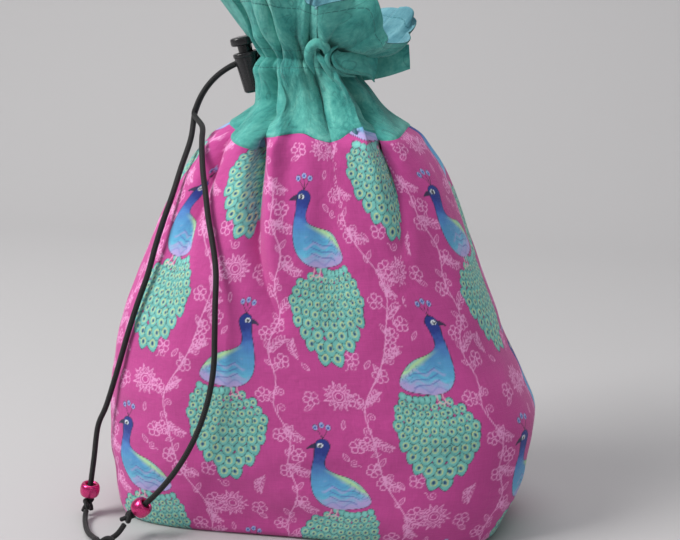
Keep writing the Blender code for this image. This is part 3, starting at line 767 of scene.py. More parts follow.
def open_curve(pts, n=8):
    p = np.asarray(pts, float)
    p = np.vstack([2 * p[0] - p[1], p, 2 * p[-1] - p[-2]])
    out = []
    for i in range(1, len(p) - 2):
        a, b, c, d = p[i - 1], p[i], p[i + 1], p[i + 2]
        for k in range(n):
            t = k / n
            out.append(0.5 * (2 * b + (c - a) * t + (2 * a - 5 * b + 4 * c - d) * t * t + (3 * b - a - 3 * c + d) * t ** 3))
    out.append(p[-2])
    return np.array(out)


class Brush:
    """Drawing in a local frame: place, mirror, turn and size."""

    def __init__(self, tile, x, y, sx=1.0, turn=0.0, size=1.0):
        self.t, self.x, self.y, self.sx, self.k = tile, x, y, sx, size
        self.c, self.s = math.cos(turn), math.sin(turn)

    def go(self, pts):
        p = np.asarray(pts, float).reshape(-1, 2) * self.k
        x, y = p[:, 0] * self.sx, p[:, 1]
        return np.stack([self.x + x * self.c - y * self.s, self.y + x * self.s + y * self.c], axis=1)

    def win(self, p, pad):
        return self.t.window(p[:, 0].min() - pad, p[:, 1].min() - pad, p[:, 0].max() + pad, p[:, 1].max() + pad)

    def line(self, pts, width, rgb, alpha=1.0, closed=False, raw=False):
        p = self.go(pts if raw else (loop_curve(pts) if closed else open_curve(pts)))
        w = self.win(p, width + 0.4)
        self.t.lay(seg_dist(w[0], w[1], p, closed) - width / 2, w, rgb, alpha)

    def blob(self, pts, rgb, alpha=1.0, edge=None, edge_w=0.3, shade=None, raw=False, soft=0.07):
        p = self.go(pts if raw else loop_curve(pts, 6))
        w = self.win(p, 0.8)
        d = seg_dist(w[0], w[1], p, True)
        sd = np.where(inside(w[0], w[1], p), -d, d)
        col = np.broadcast_to(np.asarray(rgb, np.float32), w[0].shape + (3,))
        if shade is not None:
            lx, ly = (w[0] - self.x), (w[1] - self.y)
            ux = (lx * self.c + ly * self.s) * self.sx / self.k
            uy = (-lx * self.s + ly * self.c) / self.k
            col = shade(ux, uy)
        self.t.lay(sd, w, col, alpha, soft)
        if edge is not None:
            self.t.lay(np.abs(sd) - edge_w / 2, w, edge, 0.92)


INK = lin_rgb((0.10, 0.16, 0.24))
LINE = lin_rgb((0.955, 0.66, 0.865))
GROUND = lin_rgb((0.785, 0.290, 0.595))


def blend3(c0, c1, t):
    t = np.clip(t, 0, 1)[..., None]
    return np.asarray(c0) * (1 - t) + np.asarray(c1) * t


def wash(x, y, seed):
    return value_noise(x * 0.33 + 40, y * 0.33 + 40, seed)


def feather(b, x, y, r, turn, seed, eye=True):
    c, s = math.cos(turn), math.sin(turn)
    k = np.array([(0, 1.05), (0.62, 0.85), (0.98, 0.30), (0.92, -0.32), (0.56, -0.92), (0.0, -1.36), (-0.56, -0.92),
                  (-0.92, -0.32), (-0.98, 0.30), (-0.62, 0.85)]) * r
    p = np.stack([x + k[:, 0] * c - k[:, 1] * s, y + k[:, 0] * s + k[:, 1] * c], axis=1)
    a0, a1 = lin_rgb((0.545, 0.845, 0.805)), lin_rgb((0.345, 0.680, 0.670))

    def shade(ux, uy):
        q = np.hypot(ux - x, uy - y) / r
        return blend3(a0, a1, q * 0.62 + 0.22 * wash(ux * 2, uy * 2, seed) - 0.05)
    b.blob(p, a0, 1.0, INK, 0.13 + 0.035 * r, shade)
    if not eye:
        return
    th = np.linspace(0, 2 * PI, 17)[:-1]
    ex, ey = x + 0.12 * r * s, y - 0.12 * r * c
    ring = lambda ra, rb, oy: np.stack([ex + ra * r * np.cos(th) * c - (rb * r * np.sin(th) + oy * r) * s,
                                        ey + ra * r * np.cos(th) * s + (rb * r * np.sin(th) + oy * r) * c], axis=1)
    b.blob(ring(0.46, 0.56, -0.02), lin_rgb((0.815, 0.87, 0.60)), 0.92, raw=True)
    b.blob(ring(0.31, 0.40, -0.06), lin_rgb((0.42, 0.71, 0.72)), 0.85, raw=True)
    b.blob(ring(0.20, 0.27, -0.04), lin_rgb((0.13, 0.29, 0.50)), 0.95, raw=True)


def bird(tile, x, y, sx):
    b = Brush(tile, x, y, sx)
    r = np.random.RandomState(5 if sx > 0 else 6)
    # tail: rows of feathers from the tip back up to the rump, each row over the one below
    ys = [-45.5]
    size = lambda yy: 1.55 + 1.75 * np.clip((-yy - 8) / 36.0, 0, 1) ** 0.8
    while ys[-1] < -9.5:
        ys.append(ys[-1] + 1.62 * size(ys[-1]))
    left = lambda yy: np.interp(yy, [-48, -44, -38, -30, -22, -15, -10, -6], [1.0, -4.5, -9.5, -13.0, -14.5, -11.5, -4.5, 2.0])
    right = lambda yy: np.interp(yy, [-48, -44, -38, -30, -22, -14, -8, -4], [4.0, 9.5, 15.0, 19.2, 20.6, 18.6, 15.4, 12.6])
    for i, yy in enumerate(ys):
        f = size(yy)
        l, rr = left(yy), right(yy)
        n = max(1, int(round((rr - l) / (1.72 * f))) + (i % 2))
        for k in range(n):
            t = (k + 0.5) / n
            px = l + (rr - l) * t
            arch = 2.6 * (1 - (2 * t - 1) ** 2)
            feather(b, px + r.uniform(-0.25, 0.25), yy - arch + r.uniform(-0.3, 0.3), f * r.uniform(0.94, 1.06),
                    (t - 0.5) * 0.75 + 0.05, 40 + i, eye=f > 1.7)
    # legs
    for lx in (-2.4, 0.4):
        b.line([(lx, -7.6), (lx - 0.3, -10.0), (lx - 0.9, -12.0)], 0.55, lin_rgb((0.93, 0.72, 0.80)))
        b.line([(lx - 2.0, -12.6), (lx - 0.9, -12.0), (lx + 0.6, -12.7)], 0.45, lin_rgb((0.93, 0.72, 0.80)))
    out = [(-7.0, 25.4), (-4.9, 24.4), (-3.9, 22.0), (-4.9, 18.6), (-6.0, 14.6), (-5.2, 11.2), (-1.2, 8.8), (5.0, 6.8),
           (10.2, 3.0), (14.2, -3.0), (12.4, -6.4), (6.6, -8.0), (-0.5, -8.6), (-6.4, -6.6), (-10.4, -1.8), (-11.9, 4.4),
           (-11.6, 10.8), (-10.6, 16.6), (-10.4, 20.6), (-9.6, 24.0)]
    indigo, royal = lin_rgb((0.165, 0.235, 0.56)), lin_rgb((0.29, 0.45, 0.78))
    aqua, lav, mint = lin_rgb((0.42, 0.78, 0.90)), lin_rgb((0.76, 0.66, 0.89)), lin_rgb((0.80, 0.95, 0.62))

    def coat(ux, uy):
        n = wash(ux, uy, 71)
        n2 = value_noise(ux * 0.9 + 9, uy * 0.9 + 9, 72)
        t = (uy + 6) / 22.0 + 0.08 * n - 0.018 * (ux + 6)
        c = blend3(aqua, royal, t)
        c = blend3_over(c, indigo, np.clip((uy - 11) / 8.0 + 0.15 * n2, 0, 1))
        # mantle: pale gold-green along the back, lavender on the belly and rump
        back = np.clip(1 - np.abs(uy - (8.4 - 0.62 * (ux + 0.5))) / 2.6, 0, 1) * smooth(uy, 11.5, 7.5)
        c = blend3_over(c, mint, back * 0.85)
        belly = np.clip((-uy - 1.5 + 0.15 * ux + 1.3 * n) / 4.6, 0, 1)
        c = blend3_over(c, lav, belly * 0.85)
        band = np.sin(uy * 1.25 + 1.6 * np.sin(ux * 0.75) + 0.6 * n) * smooth(uy, 7.5, 3.5) * smooth(ux, -9.5, -5.5)
        c = blend3_over(c, lav, np.clip(band - 0.45, 0, 1) * 0.9)
        c = blend3_over(c, royal, np.clip(-band - 0.75, 0, 1) * 1.4)
        return c
    b.blob(out, aqua, 1.0, INK, 0.24, coat)
    # folded wing
    for k, (wx, wy, L) in enumerate([(-3.2, 3.2, 12.5), (-3.8, 0.6, 13.0), (-3.6, -2.0, 12.0)]):
        b.line([(wx, wy), (wx + L * 0.35, wy - 2.0), (wx + L * 0.75, wy - 2.2), (wx + L, wy - 3.4)], 0.42, lin_rgb((0.36, 0.42, 0.74)), 0.75)
    for k in range(5):
        fx = 4.8 + k * 1.9
        b.line([(fx, 4.6 - k * 1.5), (fx + 0.4, 3.4 - k * 1.5), (fx - 0.6, 2.4 - k * 1.5)], 0.3, lin_rgb((0.30, 0.50, 0.66)), 0.7)
    # face
    th = np.linspace(0, 2 * PI, 21)[:-1]
    dot = lambda cx_, cy_, ra, rb: np.stack([cx_ + ra * np.cos(th), cy_ + rb * np.sin(th)], axis=1)
    b.blob([(-10.2, 23.0), (-12.0, 22.2), (-13.6, 20.6), (-11.8, 20.8), (-10.1, 20.9)], lin_rgb((0.23, 0.20, 0.34)), edge=INK, edge_w=0.2)
    b.blob(dot(-8.1, 22.3, 1.35, 1.15), lin_rgb((0.92, 0.95, 0.98)), raw=True, edge=INK, edge_w=0.16)
    b.blob(dot(-8.2, 22.25, 0.78, 0.78), lin_rgb((0.07, 0.09, 0.20)), raw=True)
    b.blob(dot(-8.45, 22.5, 0.24, 0.24), (0.95, 0.95, 1.0), raw=True)
    # crest
    for ex, ey in ((-9.6, 30.4), (-6.9, 31.6), (-4.2, 30.6)):
        b.line([(-7.0, 25.2), ((-7.0 + ex) / 2 + 0.2, 28.0), (ex, ey)], 0.26, INK)
        b.blob(dot(ex, ey, 1.1, 1.35), lin_rgb((0.66, 0.70, 0.92)), raw=True, edge=INK, edge_w=0.2)
        b.blob(dot(ex, ey - 0.1, 0.5, 0.6), lin_rgb((0.22, 0.34, 0.66)), raw=True)


def blend3_over(c, d, t):
    t = np.clip(t, 0, 1)[..., None]
    return c * (1 - t) + np.asarray(d) * t


def sunburst(tile, x, y, k=1.0, turn=0.0):
    b = Brush(tile, x, y, 1.0, turn, k)
    th = np.linspace(0, 2 * PI, 33)[:-1]
    for r, w in ((1.55, 0.42), (2.75, 0.50)):
        b.line(np.stack([r * np.cos(th), r * np.sin(th)], axis=1), w, LINE, 1.0, True, True)
    n = 15
    for i in range(n):
        a = 2 * PI * i / n
        q = Brush(tile, x, y, 1.0, turn + a, k)
        tip = 6.9 if i % 2 == 0 else 6.0
        q.line([(3.3, -0.30), (4.4, -0.72), (5.6, -0.34), (tip, 0.0), (5.6, 0.34), (4.4, 0.72), (3.3, 0.30)], 0.36, LINE, 0.95)
        q.line([(4.0, 0), (5.0, 0)], 0.26, LINE, 0.6)


def flower(tile, x, y, turn, k=1.0):
    for i in range(5):
        q = Brush(tile, x, y, 1.0, turn + 2 * PI * i / 5, k)
        q.line([(0.7, -0.35), (1.7, -1.25), (2.9, -1.15), (3.45, -0.35), (3.1, 0.0), (3.45, 0.35), (2.9, 1.15), (1.7, 1.25), (0.7, 0.35)],
               0.40, LINE, 0.95)
    q = Brush(tile, x, y, 1.0, turn, k)
    th = np.linspace(0, 2 * PI, 13)[:-1]
    q.line(np.stack([0.62 * np.cos(th), 0.62 * np.sin(th)], axis=1), 0.34, LINE, 0.95, True, True)


def leaf(tile, x, y, turn, k=1.0):
    q = Brush(tile, x, y, 1.0, turn, k)
    q.line([(0, 0), (1.2, 0.85), (2.8, 0.8), (4.2, 0.0), (2.8, -0.75), (1.2, -0.75), (0, 0)], 0.36, LINE, 0.9)
    q.line([(0.6, 0), (3.0, 0.05)], 0.26, LINE, 0.7)


def frond(tile, x, y, turn, k=1.0, sx=1.0):
    q = Brush(tile, x, y, sx, turn, k)
    spine = open_curve([(0, 0), (3.2, 0.7), (6.5, 0.5), (9.8, -0.8)], 8)
    q.line(spine, 0.40, LINE, 0.95, raw=True)
    for i in range(2, 24, 4):
        px, py = spine[i]
        L = 3.0 * math.sin(PI * (i + 5) / 34.0)
        for s in (1, -1):
            q.line([(px, py), (px + L * 0.45, py + s * L * 0.62), (px + L * 1.05, py + s * L * 0.55), (px + L * 0.55, py + s * L * 0.18), (px + 0.5, py)],
                   0.30, LINE, 0.9)


def curl(tile, x, y, turn, k=1.0, sx=1.0):
    q = Brush(tile, x, y, sx, turn, k)
    a = np.linspace(0, 1.55 * 2 * PI, 26)
    rr = 2.1 * (1 - a / a[-1] * 0.82)
    p = np.stack([3.6 - rr * np.cos(a), 0.9 + rr * np.sin(a) - 0.9], axis=1)
    q.line(np.vstack([[(0, 0.0)], [(0.9, 0.0)], p[1:]]), 0.36, LINE, 0.92)


def vine(tile, fx, seed, y0):
    r = np.random.RandomState(seed)
    ys = np.linspace(0, TH, 111)
    pts = np.stack([fx(ys), ys], axis=1)
    b = Brush(tile, 0, 0)
    for k in range(0, 110, 11):
        b.line(pts[k:k + 12], 0.46, LINE, 1.0, raw=True)
    kinds = ["flower", "leaf", "frond", "curl", "flower", "leaf", "frond", "flower", "curl", "leaf", "flower", "frond",
             "leaf", "flower", "curl", "frond", "leaf", "flower", "leaf", "frond", "curl", "flower", "leaf", "curl"]
    y = y0
    side = 1
    for i, kd in enumerate(kinds):
        y = (y0 + i * TH / len(kinds) + r.uniform(-1.0, 1.0)) % TH
        x = float(fx(np.array([y]))[0])
        up = r.uniform(0.35, 0.95)
        ang = (PI / 2 - side * up) if kd != "frond" else (PI / 2 - side * r.uniform(0.7, 1.2))
        if kd == "flower":
            L = r.uniform(3.6, 4.8)
            ex, ey = x + L * math.cos(ang), y + L * math.sin(ang)
            b.line([(x, y), (x + 0.5 * L * math.cos(ang) + 0.4, y + 0.45 * L * math.sin(ang)), (ex, ey)], 0.36, LINE, 0.95)
            flower(tile, ex + 1.6 * math.cos(ang), ey + 1.6 * math.sin(ang), r.uniform(0, 6), r.uniform(0.86, 1.02))
        elif kd == "leaf":
            leaf(tile, x, y, ang, r.uniform(0.9, 1.15))
            leaf(tile, x, y - 1.4, PI - ang, r.uniform(0.8, 1.0))
        elif kd == "frond":
            frond(tile, x, y, ang, r.uniform(0.92, 1.08), side)
        else:
            curl(tile, x, y, ang, r.uniform(0.85, 1.05), side)
        side = -side


def paint_tile():
    t = Tile(GROUND)
    # vines first, so that the birds sit over them
    vine(t, lambda y: 44.0 + 9.5 * np.sin(2 * PI * (y - 8.0) / TH) + 1.2 * np.sin(2 * PI * 3 * y / TH), 3, 1.0)
    vine(t, lambda y: 88.0 + 3.2 * np.sin(2 * PI * (y - 30.0) / TH) + 1.5 * np.sin(2 * PI * 4 * y / TH + 1), 4, 4.0)
    # short sprigs fill the ground beside the necks and under the tails
    for sx, ox, oy in ((1, 0.0, 0.0), (-1, 88.0, -55.0)):
        def at(x, y):
            return ox + sx * x, (oy + y) % TH
        for x, y, kind, turn, k in ((29.5, 82.5, "f", 0.3, 1.0), (35.0, 78.0, "l", 0.4, 1.0), (26.0, 75.5, "l", 2.2, 1.0),
                                    (33.0, 86.5, "c", 1.2, 1.0), (24.0, 90.0, "l", 1.4, 1.0), (36.5, 71.5, "f", 1.0, 0.95),
                                    (31.0, 73.0, "c", 2.6, 0.9), (12.5, 103.5, "f", 0.8, 1.0), (9.0, 98.0, "l", 0.6, 1.1),
                                    (5.0, 77.0, "f", 0.2, 0.9), (4.0, 70.0, "l", 1.2, 1.0), (36.0, 101.0, "r", 0.9, 0.9),
                                    (33.5, 12.5, "f", 0.5, 1.0), (38.5, 8.0, "l", 0.9, 1.1), (30.0, 7.0, "c", 0.4, 1.0),
                                    (9.5, 11.0, "r", 1.9, 0.9), (14.0, 6.5, "l", 2.4, 1.0)):
            px_, py_ = at(x, y)
            tt = turn if sx > 0 else PI - turn
            if kind == "f":
                flower(t, px_, py_, tt, k)
            elif kind == "l":
                leaf(t, px_, py_, tt, k)
            elif kind == "c":
                curl(t, px_, py_, tt, k, sx)
            else:
                frond(t, px_, py_, tt, k, sx)
    sunburst(t, 24.5, 105.0, 1.0, 0.1)
    sunburst(t, 63.5, 50.0, 1.0, 0.3)
    bird(t, 22.0, 60.0, 1.0)
    bird(t, 66.0, 5.0, -1.0)
    return t.a


PRINT_U0, PRINT_V0 = -28.0, 30.0
TILE = None


def print_colour(u, v):
    """Colour of the print at cloth position u (round) and v (up), in millimetres."""
    global TILE
    if TILE is None:
        TILE = paint_tile()
    back = u > FABRIC / 2
    x = (u + PRINT_U0 + np.where(back, 31.0, 0.0)) * PX
    y = (v + PRINT_V0 + np.where(back, 22.0, 0.0)) * PX
    h, w = TILE.shape[:2]
    x, y = x - 0.5, y - 0.5
    x0, y0 = np.floor(x).astype(int), np.floor(y).astype(int)
    fx, fy = (x - x0)[..., None], (y - y0)[..., None]
    a, b_ = TILE[y0 % h, x0 % w], TILE[y0 % h, (x0 + 1) % w]
    c, d = TILE[(y0 + 1) % h, x0 % w], TILE[(y0 + 1) % h, (x0 + 1) % w]
    return (a * (1 - fx) + b_ * fx) * (1 - fy) + (c * (1 - fx) + d * fx) * fy


# =====================================================================================
# printed body
# =====================================================================================
STEP = 0.5
NC = 968
tau_body = np.arange(NC) / NC
WALL = Wall(tau_body)
body_zs = np.concatenate([[0.0, 0.15, 0.5, 1.0, 1.7], np.arange(2.5, 177.6, STEP * (1))])
body_zs[-1] = 177.5


def top_of_wall(wall):
    k = int(round(177 / wall.dz))
    return seam_height(wall.X[k], wall.Y[k])


def body_grid(wall, zs, inset=0.0, scale=1.0, bottom=10):
    """Base and wall. Row 0 is the middle of the base."""
    top = top_of_wall(wall)
    z = rows_z(zs, wall, top)
    pts, P = displaced(wall, z, scale)
    # soft edge where the wall turns under
    r = 3.2
    low = zs < r
    ins = r * (1 - np.sqrt(np.clip(1 - ((r - zs[low]) / r) ** 2, 0, 1)))
    cx0 = 0.0
    ctr = np.array([cx0, 0.0])
    for i, k in enumerate(np.nonzero(low)[0]):
        q = pts[k, :, :2] - ctr
        L = np.linalg.norm(q, axis=1, keepdims=True)
        pts[k, :, :2] = ctr + q * (1 - ins[i] / L)
    u = fabric_u(wall, z, P)
    # cloth height up the wall
    mid = pts[:, :, :]
    dv = np.linalg.norm(np.diff(mid, axis=0), axis=2).mean(axis=1)
    v = np.concatenate([[0], np.cumsum(dv)])[:, None] + (z - zs[:, None])
    # base: rows running in to the middle
    edge = pts[0].copy()
    f = np.linspace(0.0, 1.0, bottom + 1)[:-1]
    # the base closes on a line, not a point
    half = np.clip(edge[:, 0] - cx0, -1e9, 1e9)
    line = np.stack([cx0 + half * 0.55, np.full(len(edge), 0.0), np.full(len(edge), 0.0)], axis=1)
    base = line[None] * (1 - f[:, None, None]) + edge[None] * f[:, None, None]
    base[:, :, 2] = 0.0
    ub = np.repeat(u[:1], len(f), axis=0)
    vb = v[0][None, :] - np.linalg.norm(base - edge[None], axis=2)
    allp = np.concatenate([base, pts])
    return allp, np.concatenate([ub, u]), np.concatenate([vb, v]), z


def inward(p, n, t):
    q = p - n * t
    return q


body, body_u, body_v, body_z = body_grid(WALL, body_zs, bottom=24)
body_n = weld_normals(body)
# outward is away from the middle
if (body_n[60, :, :2] * (body[60, :, :2] - np.array([0.0, 0.0]))).sum() < 0:
    body_n = -body_n
rows, cols = body.shape[:2]
faces = grid_faces(rows, cols, True)
centre = body[60].mean(axis=0)


def outward_faces(p, faces):
    f = faces[len(faces) // 2]
    flat = p.reshape(-1, 3)
    n = np.cross(flat[f[1]] - flat[f[0]], flat[f[2]] - flat[f[0]])
    c = flat[f].mean(axis=0)
    side = n[:2] @ (c[:2] - np.array([0.0, 0.0]))
    return faces if side > 0 else faces[:, ::-1]


faces = outward_faces(body, faces)
col = print_colour(body_u, body_v)
uvb = np.stack([body_u, body_v], axis=-1)
half = cols // 2


def halves(name, grid, uv, colour, mat, quad_flip, nodes, scal=None):
    """Front and back pieces that share their side seams exactly."""
    out = []
    for tag, sel in (("front", np.arange(0, half + 1)), ("back", np.arange(half, cols + 1) % cols)):
        g = grid[:, sel]
        f = grid_faces(g.shape[0], g.shape[1], False)
        if quad_flip:
            f = f[:, ::-1]
        uu = uv[:, sel].copy()
        if tag == "back":
            uu[:, -1, 0] = FABRIC
        ob = make_mesh(name + "_" + tag, g.reshape(-1, 3), f, uu.reshape(-1, 2),
                       None if colour is None else colour[:, sel].reshape(-1, 3))
        ob.data.materials.append(mat)
        out.append(ob)
    return out


flip = not np.array_equal(faces, grid_faces(rows, cols, True))
print_front, print_back = halves("printed_body", body, uvb, col, MAT_PRINT, flip, None)
for ob, tag in ((print_front, "front"), (print_back, "back")):
    ob.data.normals_split_custom_set_from_vertices(
        body_n[:, (np.arange(0, half + 1) if tag == "front" else np.arange(half, cols + 1) % cols)].reshape(-1, 3))
    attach(ob, "bag")
    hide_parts("outer_" + tag)


# =====================================================================================
# inner cloths of the body
# =====================================================================================
NI = 484
WALL_I = Wall(np.arange(NI) / NI)
in_zs = np.concatenate([[0.0, 1.0, 2.0], np.arange(3.0, 177.6, 1.5)])
in_zs[-1] = 177.5
inner, inner_u, inner_v, inner_z = body_grid(WALL_I, in_zs, bottom=8)
inner_n = weld_normals(inner)
if (inner_n[30, :, :2] * (inner[30, :, :2] - np.array([0.0, 0.0]))).sum() < 0:
    inner_n = -inner_n


def offset_layer(p, n, t):
    """A cloth lying t inside the surface; eased so that it does not fold through itself."""
    q = p.copy()
    c = np.array([0.0, 0.0])
    nn = n.copy()
    for _ in range(3):
        nn = nn + np.roll(nn, 1, axis=1) + np.roll(nn, -1, axis=1)
        nn[1:-1] = nn[1:-1] + nn[:-2] * 0.5 + nn[2:] * 0.5
        nn /= np.maximum(np.linalg.norm(nn, axis=2, keepdims=True), 1e-9)
    return q - nn * t


half_i = NI // 2
for lay, t, mat, slot in (("interlining", 1.6, MAT_FLEECE, "white_fleece_interlining"),
                          ("lining", 3.2, MAT_LINING, "pale_blue_lining")):
    g = offset_layer(inner, inner_n, t)
    g[:8, :, :2] = inner[:8, :, :2] * (1 - t * 0.6 / 86.0)
    g[:8, :, 2] = t
    g[8:, :, 2] = np.maximum(g[8:, :, 2], t)
    if lay == "interlining":
        g = g[:-2]
    for tag, sel in (("front", np.arange(0, half_i + 1)), ("back", np.arange(half_i, NI + 1) % NI)):
        gg = g[:, sel]
        f = grid_faces(gg.shape[0], gg.shape[1], False)
        if flip:
            f = f[:, ::-1]
        uu = np.stack([inner_u, inner_v], axis=-1)[:len(g), sel].copy()
        if tag == "back":
            uu[:, -1, 0] = FABRIC
        ob = make_mesh(lay + "_cloth_" + tag, gg.reshape(-1, 3), f, uu.reshape(-1, 2))
        ob.data.materials.append(mat)
        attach(ob, "bag")
        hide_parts(lay + "_" + tag)


# =====================================================================================
# batik band, casing and ruffle
# =====================================================================================
# angle about (-5, 1) (180 left, 270 front, 0 right): radius and height half way up; at the rim
RUFFLE = [(180, 27, 224, 38, 238), (200, 26, 224, 36, 238.5), (215, 23, 222, 30, 237), (227, 22.5, 221, 28, 236.5),
          (240, 21.5, 220, 29, 237.5), (252, 20.5, 219, 27, 236), (262, 22.5, 220, 31, 237.5), (273, 21, 219, 28, 234.5),
          (287, 22.5, 220, 28.3, 232.5), (298, 25, 219, 34, 230.7), (309, 29, 219, 41, 233.7), (317, 33, 219.5, 49, 235),
          (322, 34, 216.5, 48.5, 228), (327, 34, 213, 46, 220.5), (338, 35, 210.5, 45.5, 217), (351, 38, 210, 47.5, 217),
          (1, 38, 211, 50, 220), (11, 36, 213, 48.8, 226.5), (19, 32, 214.5, 46.3, 230), (30, 28, 216, 42.6, 228.5),
          (41, 25, 217, 39.7, 226), (50, 25, 219, 39, 231), (60, 27, 220, 40, 234),
          (80, 26, 222, 37, 239), (100, 25, 221, 36, 235), (120, 27, 223, 40, 240), (140, 25, 220, 36, 233),
          (160, 27, 223, 40, 239)]
RUFFLE.sort(key=lambda r: (r[0] - 180) % 360)
R_ANG = [(r[0] - 180) % 360 for r in RUFFLE]

NB = 660
tau_band = np.arange(NB) / NB
WALL_B = Wall(tau_band)
CENTRE_X = -2.6


def split_x(z):
    """Where the left and right quarters meet at each height."""
    return -2.6 + 0.19 * (208.0 - z)


BAND_T = np.concatenate([np.linspace(0, 1, 62)])
RUFF_T = np.linspace(0, 1, 84)[1:]


def band_points(inner_skin=False):
    top = top_of_wall(WALL_B)
    z = top[None, :] + (NECK_Z - top[None, :]) * BAND_T[:, None]
    # matching height for the displacement: same rule as the body's top row at the seam
    pts, P = displaced(WALL_B, z)
    a = (360.0 * tau_band) % 360
    want = PI + 2 * PI * tau_band
    tab = [periodic(a, R_ANG, [r[k] for r in RUFFLE]) for k in (1, 2, 3, 4)]
    neck = pts[-1]
    s = RUFF_T[:, None]

    def three(p0, pm, p1, s, t0):
        """Through p0 at 0, pm at 0.55 and p1 at 1, leaving p0 with slope t0."""
        m = 0.55
        tm = p1 - p0
        a_ = s / m
        h1 = ((1 + 2 * a_) * (1 - a_) ** 2 * p0 + a_ * (1 - a_) ** 2 * m * t0 + a_ * a_ * (3 - 2 * a_) * pm
              + a_ * a_ * (a_ - 1) * m * tm)
        b_ = (s - m) / (1 - m)
        t1 = 2 * (p1 - pm) / (1 - m) - tm
        h2 = ((1 + 2 * b_) * (1 - b_) ** 2 * pm + b_ * (1 - b_) ** 2 * (1 - m) * tm + b_ * b_ * (3 - 2 * b_) * p1
              + b_ * b_ * (b_ - 1) * (1 - m) * t1)
        return np.where(s < m, h1, h2)
    # folds roll sideways as they rise
    lean_m = 0.055 * np.sin(9 * want + 0.6) + 0.03 * np.sin(17 * want + 2.0)
    lean_r = 0.085 * np.sin(9 * want + 1.3) + 0.035 * np.sin(21 * want + 0.4)
    am, ar = want + lean_m, want + lean_r
    ux, uy = np.cos(want), np.sin(want)
    xm, ym = -5.0 + tab[0] * np.cos(am), 1.0 + tab[0] * np.sin(am)
    xr, yr = -5.0 + tab[2] * np.cos(ar), 1.0 + tab[2] * np.sin(ar)
    x = three(neck[None, :, 0], xm[None, :], xr[None, :], s, 9.0 * ux)
    y = three(neck[None, :, 1], ym[None, :], yr[None, :], s, 9.0 * uy)
    Zz = three(np.full((1, NB), NECK_Z), tab[1][None, :], tab[3][None, :], s, 24.0)
    fold = pleat_field(tau_band, np.full((1, NB), 209.0))[0] / 2.6
    soft = np.interp(RUFF_T, [0, 0.10, 0.3, 0.55, 0.8, 1.0], [0.0, 1.0, 2.5, 2.2, 1.6, 1.2])[:, None]
    small = value_noise(np.broadcast_to(tau_band[None, :] * 40, x.shape), s * 3 + 0 * x, 31, 40)
    push = fold[None, :] * soft + small * 0.9 * smooth(s, 0.05, 0.4)
    x = x + push * ux
    y = y + push * uy
    Zz = Zz + value_noise(np.broadcast_to(tau_band[None, :] * 30, x.shape), s * 2 + 5 + 0 * x, 32, 30) * 1.0 * smooth(s, 0.2, 1.0)
    ruff = np.stack([x, y, Zz], axis=-1)
    p = np.concatenate([pts, ruff])
    # the quarters meet on one plane
    for jf in (NB // 4, 3 * NB // 4):
        dx = split_x(p[:, jf, 2]) - p[:, jf, 0]
        dx = dx * smooth(p[:, jf, 2], 216, 209)
        arc = ((tau_band - jf / NB + 0.5) % 1.0 - 0.5)
        k = np.exp(-(arc[None, :] / 0.06) ** 2)
        p[:, :, 0] += dx[:, None] * k
    return p


def open_slit(p, width):
    """Ease the cloth apart at the left side seam so that the two cords come through."""
    n = p.shape[1]
    for sgn in (1, -1):
        idx = (np.arange(0, n // 8) * sgn) % n
        y = p[:, idx, 1]
        seam = p[:, :1, 1]
        d = (seam - y) * sgn
        lens = np.exp(-((p[:, idx, 2] - 206.4) / 2.6) ** 4)
        push = width * np.clip(1 - d / 8.0, 0, 1) * lens
        p[:, idx, 1] = y - sgn * push
    return p


band = band_points()
band_n = weld_normals(band)
if (band_n[5, :, :2] * (band[5, :, :2] - np.array([0.0, 0.0]))).sum() < 0:
    band_n = -band_n
# keep the join with the print smooth
thick = 1.0
lin = band.copy()
nn = band_n.copy()
for _ in range(2):
    nn = nn + np.roll(nn, 1, axis=1) + np.roll(nn, -1, axis=1)
    nn /= np.maximum(np.linalg.norm(nn, axis=2, keepdims=True), 1e-9)
nrow = band.shape[0]
hz = np.concatenate([BAND_T, np.full(len(RUFF_T), 1.0)])
rs = np.concatenate([np.zeros(len(BAND_T)), RUFF_T])
inset = np.interp(hz, [0, 0.5, 0.8, 1.0], [3.2, 3.0, 4.0, 4.6]) * (rs <= 0) + np.interp(rs, [0, 0.1, 0.3, 1.0], [4.6, 4.2, 1.3, 0.9]) * (rs > 0)
lin = band - nn * inset[:, None, None]
# round the neck the lining is drawn into a smoother, smaller tube; below the ruffle it always
# stays inside the deepest crease nearby
cxy = np.stack([np.interp(band[:, :, 2], PROFILE[:, 0], PROFILE[:, 4]), np.full(band.shape[:2], 0.0)], axis=-1)
rad_out = np.linalg.norm(band[:, :, :2] - cxy, axis=2)
deep = rad_out.copy()
for sh in range(1, 9):
    deep = np.minimum(deep, np.minimum(np.roll(rad_out, sh, axis=1), np.roll(rad_out, -sh, axis=1)))
for _ in range(6):
    deep = (deep + np.roll(deep, 1, axis=1) + np.roll(deep, -1, axis=1)) / 3
nb = len(BAND_T)
limit = np.concatenate([np.interp(BAND_T, [0.0, 0.45, 0.7, 1.0], [99, 24, 13.5, 9.8]),
                        np.interp(RUFF_T, [0, 0.12, 0.3, 0.5], [9.8, 12.5, 20.0, 60.0])])
tube_r = np.minimum(deep - 1.0, limit[:, None])
dirs = (band[:, :, :2] - cxy) / rad_out[:, :, None]
low = lin.copy()
low[:, :, :2] = cxy + dirs * tube_r[:, :, None]
low[:, :, 2] = band[:, :, 2]
mixw = np.concatenate([np.zeros(nb), smooth(RUFF_T, 0.28, 0.60)])[:, None, None]
lin = low * (1 - mixw) + lin * mixw
